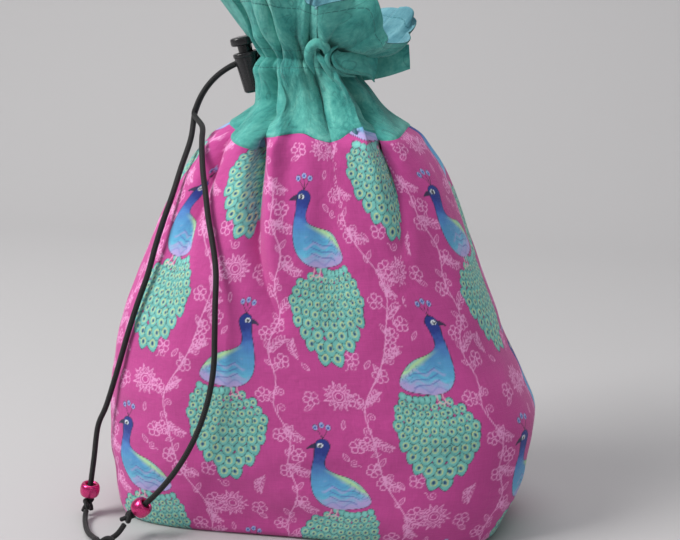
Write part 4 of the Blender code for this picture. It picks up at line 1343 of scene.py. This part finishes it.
# and it never shows through a fold of the ruffle
for k in range(nb, nrow - 1):
    c0 = cxy[k, 0]
    seg_ = np.stack([band[k, :, :2] * (1 - f) + np.roll(band[k, :, :2], -1, axis=0) * f for f in (0, 0.25, 0.5, 0.75)]).reshape(-1, 2) - c0
    bins = ((np.degrees(np.arctan2(seg_[:, 1], seg_[:, 0])) % 360) * 2).astype(int) % 720
    near = np.full(720, 1e3)
    np.minimum.at(near, bins, np.linalg.norm(seg_, axis=1))
    near = np.minimum(near, np.minimum(np.roll(near, 1), np.roll(near, -1)))
    d = lin[k, :, :2] - c0
    r_ = np.linalg.norm(d, axis=1)
    az = (np.degrees(np.arctan2(d[:, 1], d[:, 0])) % 360) * 2
    lim = np.interp(az, np.arange(-1, 722) + 0.5, np.concatenate([near[-1:], near, near[:2]])) - (0.5 if k < nrow - 6 else 0.25)
    lin[k, :, :2] = c0 + d * np.minimum(1.0, lim / r_)[:, None]
# rim: the two cloths meet
for p, q in ((band, lin),):
    q[-1] = p[-1] - nn[-1] * 0.35
# the band is lapped over the print: its folded edge stands proud by the cloth's thickness
lap = np.interp(np.arange(nrow), [0, 1, 3, 14], [0.0, 0.5, 0.5, 0.0])
band = band + band_n * lap[:, None, None]
open_slit(band, 2.9)

band_len = np.concatenate([[0], np.cumsum(np.linalg.norm(np.diff(band, axis=0), axis=2).mean(axis=1))])
arcu = np.linspace(0, FABRIC, NB, endpoint=False)
ruff_len = band_len[-1] - band_len[nb - 1]
over = np.maximum(band_len - band_len[nb - 1], 0) * (RIM_V - NECK_V) / ruff_len
under = np.minimum(band_len - band_len[nb - 1], 0)
band_uv = np.stack(np.broadcast_arrays(arcu[None, :], (NECK_V + over + under)[:, None]), axis=-1)

QUARTERS = (("front_left", 0, NB // 4, "mouth_front", (0.00215, 0, 0.183), (0.011538, 0, 0.190651)),
            ("front_right", NB // 4, NB // 2, "mouth_front", (0.00215, 0, 0.183), (-0.010989, 0, 0.188715)),
            ("back_right", NB // 2, 3 * NB // 4, "mouth_back", (0.00215, 0, 0.183), (-0.010989, 0, 0.188715)),
            ("back_left", 3 * NB // 4, NB, "mouth_back", (0.00215, 0, 0.183), (0.011538, 0, 0.190651)))


def quarter_pieces(name, grid, nrm, uv, mat, node, reverse):
    out = []
    for tag, j0, j1, body_, a, b in QUARTERS:
        sel = np.arange(j0, j1 + 1) % NB
        g = grid[:, sel]
        f = grid_faces(g.shape[0], g.shape[1], False)
        if reverse:
            f = f[:, ::-1]
        uu = uv[:, sel].copy()
        if j1 == NB:
            uu[:, -1, 0] = FABRIC
        ob = make_mesh(name + "_" + tag, g.reshape(-1, 3), f, uu.reshape(-1, 2), normals=nrm[:, sel].reshape(-1, 3))
        ob.data.materials.append(mat)
        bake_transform(ob)
        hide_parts(node + ("_front" if "front" in tag else "_back"))
        out.append(ob)
    return out


band_n = weld_normals(band)
if (band_n[5, :, :2] * (band[5, :, :2] - np.array([0.0, 0.0]))).sum() < 0:
    band_n = -band_n
lin_n = weld_normals(lin)
if (lin_n[5, :, :2] * (lin[5, :, :2] - np.array([0.0, 0.0]))).sum() < 0:
    lin_n = -lin_n
f0 = grid_faces(nrow, NB, True)
band_flip = not np.array_equal(outward_faces(band[:50], grid_faces(50, NB, True)), grid_faces(50, NB, True))
quarter_pieces("batik_cuff", band, band_n, band_uv, MAT_TEAL, "cuff", band_flip)
quarter_pieces("lining_cuff", lin, -lin_n, band_uv, MAT_LINING, "cuff_lining", not band_flip)


def roll(name, pts_, widths, thick, body_, a, b_, node="cuff_front"):
    """A rolled pleat: a soft flattened tube of cloth along a path, tucked in at both ends."""
    p = np.array(pts_, float)
    t = np.linspace(0, 1, len(p))
    q = np.linspace(0, 1, 90)
    c = np.stack([hermite(q, t, p[:, i]) for i in range(3)], axis=1)
    w = hermite(q, np.linspace(0, 1, len(widths)), widths)
    h = hermite(q, np.linspace(0, 1, len(thick)), thick)
    tan = np.gradient(c, axis=0)
    tan /= np.linalg.norm(tan, axis=1, keepdims=True)
    out = c - np.array([-2.6, 0.0, 0.0])
    out[:, 2] = 0
    out /= np.linalg.norm(out, axis=1, keepdims=True)
    side = np.cross(tan, out)
    side /= np.linalg.norm(side, axis=1, keepdims=True)
    out = np.cross(side, tan)
    n = 40
    th = np.linspace(0, 2 * PI, n + 1)
    wob = 1 + 0.07 * np.sin(3 * th)[None, :] * np.sin(9 * q)[:, None]
    g = c[:, None] + (np.cos(th)[None, :, None] * side[:, None] * w[:, None, None]
                      + np.sin(th)[None, :, None] * out[:, None] * h[:, None, None]) * wob[:, :, None]
    L = np.concatenate([[0], np.cumsum(np.linalg.norm(np.diff(c, axis=0), axis=1))])
    uv = np.stack(np.broadcast_arrays(th[None, :] * 3.0 + 40, L[:, None] + 20), axis=-1)
    ob = make_mesh(name, g.reshape(-1, 3), grid_faces(len(q), n + 1, False, flip=True), uv.reshape(-1, 2))
    ob.data.materials.append(MAT_TEAL)
    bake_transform(ob)
    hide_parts(node)
    return ob


FR = QUARTERS[1][3:]
roll("rolled_pleat_a", [(5.0, -16.6, 203.0), (4.0, -18.9, 206.6), (3.2, -19.9, 210.6), (4.4, -20.6, 214.2), (7.2, -20.9, 216.0), (10.2, -20.4, 214.6), (11.2, -18.9, 211.6), (12.4, -17.0, 208.6)],
     [0.4, 1.3, 1.9, 2.1, 2.1, 2.0, 1.5, 0.5], [0.3, 1.0, 1.6, 1.8, 1.9, 1.7, 1.2, 0.3], *FR)
roll("rolled_pleat_b", [(6.4, -18.2, 212.4), (7.4, -19.2, 210.4), (9.6, -19.5, 208.0), (11.4, -18.8, 204.8), (14.3, -17.2, 200.7), (16.7, -15.0, 196.6)],
     [0.4, 1.2, 1.6, 1.5, 1.1, 0.3], [0.3, 1.1, 1.4, 1.2, 0.9, 0.2], *FR)
roll("rolled_pleat_c", [(15.0, -17.2, 214.6), (12.2, -19.4, 212.6), (11.1, -19.9, 210.0), (11.4, -19.4, 207.2), (13.4, -18.0, 204.8), (16.8, -15.6, 202.6), (21.5, -11.6, 201.6)],
     [0.4, 0.95, 1.15, 1.15, 1.1, 0.9, 0.3], [0.3, 0.9, 1.2, 1.2, 1.1, 0.8, 0.2], *FR)
LOWER_EDGE = [(14.2, -17.4, 212.2), (13.2, -18.9, 210.2), (14.4, -18.4, 207.0), (17.3, -16.6, 204.5), (23.4, -12.2, 203.0), (27.0, -9.0, 201.6), (28.9, -6.2, 198.9)]
roll("rolled_pleat_d", LOWER_EDGE, [0.4, 0.9, 1.05, 1.0, 0.8, 0.65, 0.3], [0.3, 0.9, 1.1, 1.0, 0.8, 0.6, 0.25], *FR)


def under_fold():
    """Cloth hanging under the big petal, from the swirl out to its loose right edge."""
    q = np.linspace(0, 1, 70)
    t = np.linspace(0, 1, len(LOWER_EDGE))
    lo = np.stack([hermite(q, t, np.array(LOWER_EDGE)[:, k]) for k in range(3)], axis=1)
    up_pts = np.array([(14.6, -16.6, 213.0), (16.5, -15.4, 212.0), (19.5, -13.6, 211.8), (23.0, -11.4, 212.0), (26.5, -9.2, 211.8), (30.6, -6.6, 210.8)])
    hi = np.stack([hermite(q, np.linspace(0, 1, 6), up_pts[:, k]) for k in range(3)], axis=1)
    v = np.linspace(0, 1, 30)[:, None, None]
    g = lo[None] * (1 - v) + hi[None] * v
    bulge = np.sin(PI * v[:, :, 0]) * (0.5 + 1.1 * np.sin(PI * q)[None, :]) + 0.35 * np.sin(11 * q[None, :] + 4 * v[:, :, 0])
    g[:, :, 1] -= bulge * 0.8
    g[:, :, 0] += bulge * 0.3
    return g


uf = under_fold()
ob = make_mesh("under_fold", uf.reshape(-1, 3), grid_faces(uf.shape[0], uf.shape[1], False),
               np.stack(np.broadcast_arrays(np.linspace(0, 24, uf.shape[1])[None, :] + 70, np.linspace(0, 9, uf.shape[0])[:, None] + 150), axis=-1).reshape(-1, 2))
ob.data.materials.append(MAT_TEAL)
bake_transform(ob)
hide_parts("cuff_front")


def flap():
    """The low fold of the ruffle on the right: a corner of cloth standing out under the big petal."""
    nu, nv = 60, 44
    u = np.linspace(0, 1, nu)[None, :]
    v = np.linspace(0, 1, nv)[:, None]
    # corners: neck low, outer low, outer high, neck high
    A, B_, C_, D_ = (np.array(k, float) for k in ((12.0, 2.0, 197.5), (42.2, 9.0, 203.2), (42.0, 8.0, 214.0), (14.0, 1.0, 210.0)))
    p = ((1 - u)[..., None] * (1 - v)[..., None] * A + u[..., None] * (1 - v)[..., None] * B_
         + u[..., None] * v[..., None] * C_ + (1 - u)[..., None] * v[..., None] * D_)
    p[:, :, 2] -= 1.6 * np.sin(PI * u) * (1 - v)
    p[:, :, 1] += 2.6 * np.sin(PI * 1.3 * u + 0.4) * (0.4 + 0.6 * v) + 0.8 * np.sin(7 * u + 3 * v)
    return p, weld_normals(p, False)


fp, fn = flap()
fn = fn * (1 if fn[:, :, 1].mean() < 0 else -1)
for t, nm, mt, slot, node in ((0.0, "low_flap_outer", MAT_TEAL, "teal_batik_cotton", "cuff_front"),
                              (0.7, "low_flap_inner", MAT_LINING, "pale_blue_lining", "cuff_lining_front")):
    g = fp - fn * t
    if t:
        g[:, -1], g[0], g[-1] = fp[:, -1] - fn[:, -1] * 0.05, fp[0] - fn[0] * 0.05, fp[-1] - fn[-1] * 0.05
    uu = np.stack(np.broadcast_arrays(np.linspace(0, 32, g.shape[1])[None, :] + 130, np.linspace(0, 13, g.shape[0])[:, None] + 60), axis=-1)
    ob = make_mesh(nm, g.reshape(-1, 3), grid_faces(g.shape[0], g.shape[1], False), uu.reshape(-1, 2))
    ob.data.materials.append(mt)
    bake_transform(ob)
    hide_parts(node)


# =====================================================================================
# cords
# =====================================================================================
def spline(points, step):
    p = np.array(points, dtype=float)
    t = np.concatenate(([0.0], np.cumsum(np.sqrt(np.linalg.norm(np.diff(p, axis=0), axis=1)))))
    ext = np.vstack([2 * p[0] - p[1], p, 2 * p[-1] - p[-2]])
    te = np.concatenate(([-t[1]], t, [2 * t[-1] - t[-2]]))
    out = []
    for i in range(len(p) - 1):
        p0, p1, p2, p3 = ext[i], ext[i + 1], ext[i + 2], ext[i + 3]
        t0, t1, t2, t3 = te[i], te[i + 1], te[i + 2], te[i + 3]
        m = max(1, int(round(np.linalg.norm(p2 - p1) / step)))
        for k in range(m):
            s = t1 + (t2 - t1) * k / m
            a1 = p0 * (t1 - s) / (t1 - t0) + p1 * (s - t0) / (t1 - t0)
            a2 = p1 * (t2 - s) / (t2 - t1) + p2 * (s - t1) / (t2 - t1)
            a3 = p2 * (t3 - s) / (t3 - t2) + p3 * (s - t2) / (t3 - t2)
            b1 = a1 * (t2 - s) / (t2 - t0) + a2 * (s - t0) / (t2 - t0)
            b2 = a2 * (t3 - s) / (t3 - t1) + a3 * (s - t1) / (t3 - t1)
            out.append(b1 * (t2 - s) / (t2 - t1) + b2 * (s - t1) / (t2 - t1))
    out.append(p[-1])
    return np.array(out)


def resample(path, step):
    path = np.asarray(path, float)
    L = np.concatenate([[0], np.cumsum(np.linalg.norm(np.diff(path, axis=0), axis=1))])
    n = max(2, int(round(L[-1] / step)) + 1)
    s = np.linspace(0, L[-1], n)
    return np.stack([np.interp(s, L, path[:, i]) for i in range(3)], axis=1), s


def cord(name, path, radius, caps=(True, True), step=0.45, sides=28, v0=0.0, frayed=False, mat=None):
    """Round cord along a path, parallel-carried frames, rounded ends; frayed is not used."""
    c, s = resample(path, step)
    t = np.gradient(c, axis=0)
    t /= np.linalg.norm(t, axis=1, keepdims=True)
    up = np.array([0.3, 1.0, 0.2])
    u = up - t[0] * (up @ t[0])
    u /= np.linalg.norm(u)
    U = [u]
    for k in range(1, len(c)):
        u = U[-1] - t[k] * (U[-1] @ t[k])
        U.append(u / np.linalg.norm(u))
    U = np.array(U)
    V = np.cross(t, U)
    if len(c) > 8:
        pass
    rad = np.full(len(c), float(radius))
    ang = np.linspace(0, 2 * PI, sides + 1)
    ring = lambda k, r: c[k] + r * (np.cos(ang)[:, None] * U[k] + np.sin(ang)[:, None] * V[k])
    rows_, vv = [], []
    if caps[0]:
        for f in (0.02, 0.45, 0.75, 0.93):
            back = math.sqrt(max(0.0, 1 - f * f)) * radius * 0.55
            rows_.append(c[0] - t[0] * back + f * radius * (np.cos(ang)[:, None] * U[0] + np.sin(ang)[:, None] * V[0]))
            vv.append(-back)
    for k in range(len(c)):
        rows_.append(ring(k, rad[k]))
        vv.append(s[k])
    if caps[1]:
        for f in (0.93, 0.75, 0.45, 0.02):
            fwd = math.sqrt(max(0.0, 1 - f * f)) * radius * 0.55
            rows_.append(c[-1] + t[-1] * fwd + f * radius * (np.cos(ang)[:, None] * U[-1] + np.sin(ang)[:, None] * V[-1]))
            vv.append(s[-1] + fwd)
    g = np.array(rows_)
    uv = np.stack(np.broadcast_arrays((ang / (2 * PI))[None, :], np.array(vv)[:, None] + v0), axis=-1)
    f = grid_faces(g.shape[0], sides + 1, False)
    ob = make_mesh(name, g.reshape(-1, 3), f, uv.reshape(-1, 2))
    ob.data.materials.append(mat or MAT_CORD)
    return ob


BETA = math.radians(8.0)
H = np.array([-math.cos(BETA), -math.sin(BETA), 0.0])
Z = np.array([0.0, 0.0, 1.0])
Q = np.array([math.sin(BETA), -math.cos(BETA), 0.0])
TH0 = math.radians(14.0)
H0 = np.array([-28.6, 2.0, 206.6])
R_ARC, SPREAD, CORD_R = 33.0, 1.42, 1.25
ARC_C = H0 - R_ARC * (math.sin(TH0) * H + math.cos(TH0) * Z)


def arc(deg):
    th = math.radians(deg)
    return ARC_C + R_ARC * (math.sin(th) * H + math.cos(th) * Z)


END_T = arc(70.0)
TAN_T = math.cos(math.radians(70.0)) * H - math.sin(math.radians(70.0)) * Z
BL = np.array([-98.2, -30.5, 12.8])
DL = np.array([0.164, 0.021, 0.986])
DL /= np.linalg.norm(DL)
KL = BL - DL * 7.6
ARC2, R2 = np.array([-137.46, -51.5, 94.57]), 106.22
KE = np.array([-80.0, -65.0, 3.4])


def arc2(deg):
    t = math.radians(deg)
    return ARC2 + R2 * np.array([math.cos(t), 0.0, math.sin(t)])


BR = arc2(-48.0)
DR = np.array([-math.sin(math.radians(-48.0)), 0.0, math.cos(math.radians(-48.0))])
KR = arc2(-52.2)

lead = [arc(a) for a in np.linspace(-8.0, 70.0, 60)]
lead_a = [p + Q * SPREAD for p in lead] + [END_T + Q * SPREAD + TAN_T * 0.8]
lead_b = [p - Q * SPREAD for p in lead] + [END_T - Q * SPREAD + TAN_T * 0.8]
for tag, path in (("a", lead_a), ("b", lead_b)):
    ob = cord("cord_through_lock_" + tag, path, CORD_R)
    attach(ob, "bag")
    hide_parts("drawcord_lead_" + tag)

left_pts = [END_T - Q * SPREAD, END_T - Q * SPREAD + TAN_T * 3.4, (-52.2, -8.5, 173), (-54.2, -18, 161.2),
            (-56.4, -25, 150), (-59.7, -28.7, 139.2), (-62.9, -31, 128.1), (-65.9, -32.8, 116.8), (-70.5, -34, 104.2),
            (-75, -34.4, 91.4), (-78.8, -34, 80), (-82.8, -33.2, 68.4), (-88.6, -31, 53.5), BL + DL * 32.0,
            BL + DL * 15.0, BL, BL - DL * 5.2]
right_pts = [END_T + Q * SPREAD, END_T + Q * SPREAD + TAN_T * 2.9, (-45.7, -12.5, 178.6), (-44.1, -19, 174.3),
             (-42.8, -24, 169.9), (-40.4, -31, 161.2), (-38.3, -35.3, 153.9), (-36.4, -39.2, 145.3),
             (-34.1, -42.5, 136.6), (-32.3, -45, 129.1), (-31.2, -47.2, 121.9), (-31, -50.2, 109)]
right_pts += [arc2(a) for a in (0, -5, -10, -15, -20, -25, -30, -35, -40, -45, -49.9, -50.9)]
for tag, pts_, zend in (("left", left_pts, 0.046), ("right", right_pts, 0.044)):
    ob = cord("cord_tail_" + tag, spline(pts_, 1.2), CORD_R)
    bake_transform(ob)
    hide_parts("drawcord_tail_" + tag)


def overhand(centre, along, up, scale, radius, name):
    t = np.linspace(PI + 0.66, 3.0 * PI - 0.66, 240)
    k = np.stack([np.sin(t) + 2 * np.sin(2 * t), np.cos(t) - 2 * np.cos(2 * t), -np.sin(3 * t)], axis=1)
    first = k[0] + (k[0] - k[1]) / np.linalg.norm(k[0] - k[1]) * 1.2
    last = k[-1] + (k[-1] - k[-2]) / np.linalg.norm(k[-1] - k[-2]) * 1.2
    k = np.vstack([first, k, last]) * scale
    f = Vector(along).normalized()
    r = Vector(up).cross(f).normalized()
    u = f.cross(r).normalized()
    fr = np.array([list(u), list(f), list(r)])
    return cord(name, k @ fr + np.array(centre), radius, step=0.3)


for node, ob in (("knot_left", overhand(KL, DL, (0, -1, 0), 1.12, 1.02, "tied_knot_left")),
                 ("knot_right", overhand(KR, DR, (0, -1, 0), 1.12, 1.02, "tied_knot_right")),
                 ("end_knot", overhand(KE, (0.2, 1.0, 0.0), (1.0, 0.0, 0.0), 1.5, 1.25, "tied_end_knot")),
                 ("cord_end_left", cord("cord_end_piece_left", spline([(-98.9, -34.6, 3.9), (-98.6, -36.4, 3.0), (-96.6, -42.0, 1.7), (-91.5, -51.5, 1.5), (-86.4, -57.6, 2.3), (-84.4, -60.0, 2.9)], 1.0), 1.2)),
                 ("cord_end_right", cord("cord_end_piece_right", spline([(-73.0, -55.9, 8.8), (-75.0, -57.8, 5.8), (-76.6, -58.9, 4.4), (-78.0, -60.4, 3.8)], 1.0), 1.2)),
                 ("cord_tip_left", cord("cord_tip_piece_left", spline([(-83.4, -69.6, 2.6), (-84.6, -71.0, 2.2), (-87.5, -75.5, 1.5), (-91.5, -79.0, 1.35)], 1.0), 1.25)),
                 ("cord_tip_right", cord("cord_tip_piece_right", spline([(-78.6, -70.4, 2.5), (-78.3, -71.6, 2.2), (-76.5, -76.5, 1.5), (-76.8, -82.0, 1.35)], 1.0), 1.25))):
    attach(ob, "cord_ends")
    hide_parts(node)

# cord in the casing, in quarters that follow the cloth
for tag, j0, j1, body_, a, b in QUARTERS:
    lo, hi = {"front_left": (198, 270), "front_right": (270, 358), "back_right": (2, 90), "back_left": (90, 162)}[tag]
    pth = [(-2.6 + 13.2 * math.cos(math.radians(t)), 11.6 * math.sin(math.radians(t)), 207.2) for t in np.linspace(lo, hi, 40)]
    ob = cord("cord_in_casing_" + tag, pth, CORD_R, sides=16, step=0.8)
    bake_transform(ob)
    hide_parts("drawcord_run_" + tag.split("_")[0])


# =====================================================================================
# cord lock
# =====================================================================================
TILT = math.radians(12.0)
UX = Vector(H) * math.cos(TILT) - Vector(Z) * math.sin(TILT)
UZ = Vector(Z) * math.cos(TILT) + Vector(H) * math.sin(TILT)
UY = UZ.cross(UX)
LOCK_M = Matrix(((UX.x, UY.x, UZ.x, H0[0] * M), (UX.y, UY.y, UZ.y, H0[1] * M),
                 (UX.z, UY.z, UZ.z, H0[2] * M), (0.0, 0.0, 0.0, 1.0)))


def oval_loft(name, rows_, count=96):
    """Closed loft through oval sections given as height, half length, half width, squareness."""
    th = 2 * PI * (np.arange(count) + 0.5) / count
    c, s = np.cos(th), np.sin(th)
    g = np.array([[(a * np.sign(c) * np.abs(c) ** (2 / n)), (b * np.sign(s) * np.abs(s) ** (2 / n)), np.full(count, z)]
                  for z, a, b, n in rows_]).transpose(0, 2, 1)
    m = len(rows_)
    v = g.reshape(-1, 3)
    f = grid_faces(m, count, True).tolist()
    me = bpy.data.meshes.new(name)
    me.from_pydata((v * M).tolist(), [], f + [list(reversed(range(count))), [(m - 1) * count + k for k in range(count)]])
    me.update()
    ob = link(bpy.data.objects.new(name, me))
    return ob


def rounded(z0, z1, a, b, n, r, steps=6, taper=0.0, a1=None, b1=None):
    """Rows of a lozenge with rounded edges from z0 to z1."""
    a1 = a if a1 is None else a1
    b1 = b if b1 is None else b1
    rows_ = []
    for k in range(steps + 1):
        t = k / steps * PI / 2
        rows_.append((z0 + r * (1 - math.sin(t)), a - r * (1 - math.cos(t)), b - r * (1 - math.cos(t)), n))
    rows_ = rows_[::-1]
    rows_ = [(z0 + r * (1 - math.cos(k / steps * PI / 2)), a - r * (1 - math.sin(k / steps * PI / 2)),
              b - r * (1 - math.sin(k / steps * PI / 2)), n) for k in range(steps + 1)]
    rows_ += [(z1 - r * (1 - math.cos(PI / 2 - k / steps * PI / 2)), a1 - r * (1 - math.sin(PI / 2 - k / steps * PI / 2)),
               b1 - r * (1 - math.sin(PI / 2 - k / steps * PI / 2)), n) for k in range(steps + 1)]
    return rows_


def carve(ob, cutter):
    md = ob.modifiers.new("cut", 'BOOLEAN')
    md.operation = 'DIFFERENCE'
    md.object = cutter
    md.solver = 'EXACT'
    bpy.context.view_layer.update()
    dg = bpy.context.evaluated_depsgraph_get()
    me = bpy.data.meshes.new_from_object(ob.evaluated_get(dg))
    ob.modifiers.clear()
    ob.data = me
    bpy.data.objects.remove(cutter, do_unlink=True)


def smooth_by_angle(ob, deg=34.0):
    me = ob.data
    me.polygons.foreach_set("use_smooth", np.ones(len(me.polygons), bool))
    try:
        me.set_sharp_from_angle(angle=math.radians(deg))
    except Exception:
        pass


barrel = oval_loft("lock_body", rounded(-14.0, 3.5, 4.4, 6.2, 2.7, 1.3, a1=5.5, b1=7.3))
hole = oval_loft("lock_hole", [(-12, 2.3, 3.3, 4.0), (12, 2.3, 3.3, 4.0)], 64)
hole.matrix_world = Matrix.Rotation(math.radians(90), 4, 'Y')
well = oval_loft("lock_well", [(-12, 3.1, 4.7, 2.6), (-9, 3.55, 5.1, 2.6), (8, 3.55, 5.1, 2.6)], 64)
carve(barrel, well)
carve(barrel, hole)
smooth_by_angle(barrel)
# raised rib down each face and a parting line round the flange
extra = []
flange = oval_loft("lock_flange", rounded(1.7, 3.5, 5.75, 7.55, 2.7, 0.45, a1=5.75, b1=7.55))
fcut = oval_loft("lock_flange_cut", [(-1, 3.55, 5.1, 2.6), (8, 3.55, 5.1, 2.6)], 64)
carve(flange, fcut)
smooth_by_angle(flange)
for sy in (1, -1):
    rib = oval_loft("lock_rib", rounded(-11.5, 1.9, 1.0, 0.8, 2.4, 0.5, a1=1.2, b1=0.8), 32)
    rib.matrix_world = Matrix.Translation((0, sy * 6.45 * M, 0)) @ Matrix.Rotation(math.radians(-4.6 * sy), 4, 'X')
    smooth_by_angle(rib)
    extra.append(rib)
plunger = oval_loft("lock_button", [(-6.2, 2.8, 4.3, 2.6), (-5.8, 3.1, 4.6, 2.6), (6.6, 3.1, 4.6, 2.6)]
                    + rounded(6.8, 10.3, 5.6, 7.2, 2.7, 0.9, a1=5.6, b1=7.2))
ph = oval_loft("lock_button_hole", [(-12, 3.75, 3.1, 4.0), (12, 3.75, 3.1, 4.0)], 48)
ph.matrix_world = Matrix.Translation((0, 0, 1.5 * M)) @ Matrix.Rotation(math.radians(90), 4, 'Y')
carve(plunger, ph)
smooth_by_angle(plunger)
coil = [(2.15 * math.cos(2 * PI * 3.5 * k / 160), 2.15 * math.sin(2 * PI * 3.5 * k / 160), -11.3 + 4.4 * k / 160) for k in range(161)]
spring = cord("lock_coil", coil, 0.3, sides=12, mat=MAT_STEEL)


def join(name, objs, mat):
    """Merge meshes (each with its own placing) into one object."""
    import bmesh
    bm = bmesh.new()
    for ob in objs:
        me = ob.data.copy()
        me.transform(ob.matrix_world)
        bm.from_mesh(me)
        bpy.data.meshes.remove(me)
    me = bpy.data.meshes.new(name)
    bm.to_mesh(me)
    bm.free()
    for ob in objs:
        bpy.data.objects.remove(ob, do_unlink=True)
    new = link(bpy.data.objects.new(name, me))
    if mat:
        me.materials.clear()
        me.materials.append(mat)
    return new


bpy.context.view_layer.update()
barrel = join("cord_lock_barrel", [barrel, flange] + extra, MAT_LOCK)
smooth_by_angle(barrel)
plunger.data.materials.clear()
plunger.data.materials.append(MAT_LOCK)
for ob, body_, node, slot in ((barrel, "lock", "lock_barrel", "black_lock_plastic"), (plunger, "plunger", "lock_plunger", "black_lock_plastic"),
                              (spring, "lock", "lock_spring", "spring_steel")):
    ob.data.transform(LOCK_M)
    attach(ob, body_)
    if ob is spring:
        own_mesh(ob)
    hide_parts(node)


# =====================================================================================
# beads
# =====================================================================================
def pony_bead(name, centre, direction, mat, body_, node):
    pr = []
    for k in range(49):
        t = -PI / 2 + PI * k / 48
        # barrel-shaped outside
        pr.append((2.9 + 1.6 * abs(math.cos(t)) ** 0.75, 3.1 * math.sin(t)))
    for k in range(1, 17):
        t = PI * k / 17
        pr.append((2.9 - 0.85 * math.sin(t), 3.1 * math.cos(t)))
    pr = np.array(pr)
    sides = 96
    th = 2 * PI * np.arange(sides) / sides
    g = np.stack([pr[:, None, 0] * np.cos(th), pr[:, None, 0] * np.sin(th), np.broadcast_to(pr[:, None, 1], (len(pr), sides))], axis=-1)
    # wrap the profile on itself
    g = np.concatenate([g, g[:1]])
    f = grid_faces(len(g) - 1, sides, True)
    last = len(pr) - 1
    wrap = np.stack([last * sides + np.arange(sides), last * sides + (np.arange(sides) + 1) % sides,
                     (np.arange(sides) + 1) % sides, np.arange(sides)], axis=-1)
    f = np.concatenate([f, wrap])
    z = Vector(direction).normalized()
    mw = z.to_track_quat('Z', 'Y').to_matrix()
    flat = g[:-1].reshape(-1, 3) @ np.array(mw).T + np.array(centre)
    ob = make_mesh(name, flat, f)
    ob.data.materials.append(mat)
    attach(ob, body_)
    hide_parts(node)
    return ob


pony_bead("pony_bead_left", BL, DL, MAT_BEAD_L, "bead_left_body", "bead_left")
pony_bead("pony_bead_right", BR, DR, MAT_BEAD_R, "bead_right_body", "bead_right")


# =====================================================================================
# floor, light and camera
# =====================================================================================
def stage_object(name, verts, faces_, rgb):
    me = bpy.data.meshes.new(name)
    me.from_pydata([tuple(v) for v in verts], [], faces_)
    ob = link(bpy.data.objects.new(name, me))
    m = bpy.data.materials.new(name)
    m.use_nodes = True
    p = m.node_tree.nodes["Principled BSDF"]
    p.inputs["Base Color"].default_value = (*rgb, 1)
    p.inputs["Roughness"].default_value = 0.85
    p.inputs["Specular IOR Level"].default_value = 0.2
    me.materials.append(m)
    return ob


seg = 24
prof = [(-3.0, 0.0), (0.55, 0.0)]
for k in range(1, seg + 1):
    t = k / seg * PI / 2
    prof.append((0.55 + 0.45 * math.sin(t), 0.45 * (1 - math.cos(t))))
prof.append((1.0, 3.0))
vs, fs = [], []
for y, z in prof:
    vs += [(-4.0, y, z - 0.00002), (4.0, y, z - 0.00002)]
for k in range(len(prof) - 1):
    fs.append((2 * k, 2 * k + 1, 2 * k + 3, 2 * k + 2))
sweep = stage_object("studio_sweep", vs, fs, (0.455, 0.450, 0.458))
sweep.data.polygons.foreach_set("use_smooth", np.ones(len(sweep.data.polygons), bool))


def area(name, loc, target, size, power, rgb=(1, 1, 1)):
    li = bpy.data.lights.new(name, 'AREA')
    li.shape = 'RECTANGLE'
    li.size, li.size_y = size
    li.energy = power
    li.color = rgb
    ob = link(bpy.data.objects.new(name, li))
    ob.location = loc
    ob.rotation_euler = (Vector(target) - Vector(loc)).to_track_quat('-Z', 'Y').to_euler()
    return ob


key = area("key_window", (-1.0, -0.62, 1.15), (0, 0, 0.10), (0.7, 0.7), 25.0, (1.0, 0.985, 0.96))
fill = area("fill_front", (0.9, -1.3, 0.8), (0, 0, 0.10), (1.2, 1.0), 2.2, (0.95, 0.97, 1.0))
top = area("top_soft", (0.1, 0.1, 1.6), (0, 0, 0.10), (1.4, 1.4), 14.5, (1.0, 0.99, 0.98))
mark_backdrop(sweep, key, fill, top)

world = bpy.context.scene.world or bpy.data.worlds.new("World")
bpy.context.scene.world = world
world.use_nodes = True
bg = world.node_tree.nodes.get("Background")
bg.inputs[0].default_value = (0.83, 0.85, 0.90, 1)
bg.inputs[1].default_value = 0.22

cam = bpy.data.cameras.new("camera")
cam.sensor_width = 36.0
cam.lens = 70.68
cam.clip_start = 0.02
camo = link(bpy.data.objects.new("camera", cam))
camo.location = (0.1185, -0.5701, 0.2587)
camo.rotation_euler = (Vector((0.0124, 0.0023, 0.1135)) - Vector(camo.location)).to_track_quat('-Z', 'Y').to_euler()
bpy.context.scene.camera = camo

bpy.context.scene.view_settings.view_transform = 'Standard'
bpy.context.view_layer.update()
VIS_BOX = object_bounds()


def plain_list(b):
    if isinstance(b, (int, float)):
        return float(b)
    return [plain_list(v) for v in b]


{"cad": plain_list(CAD_BOX), "visual": plain_list(VIS_BOX)}
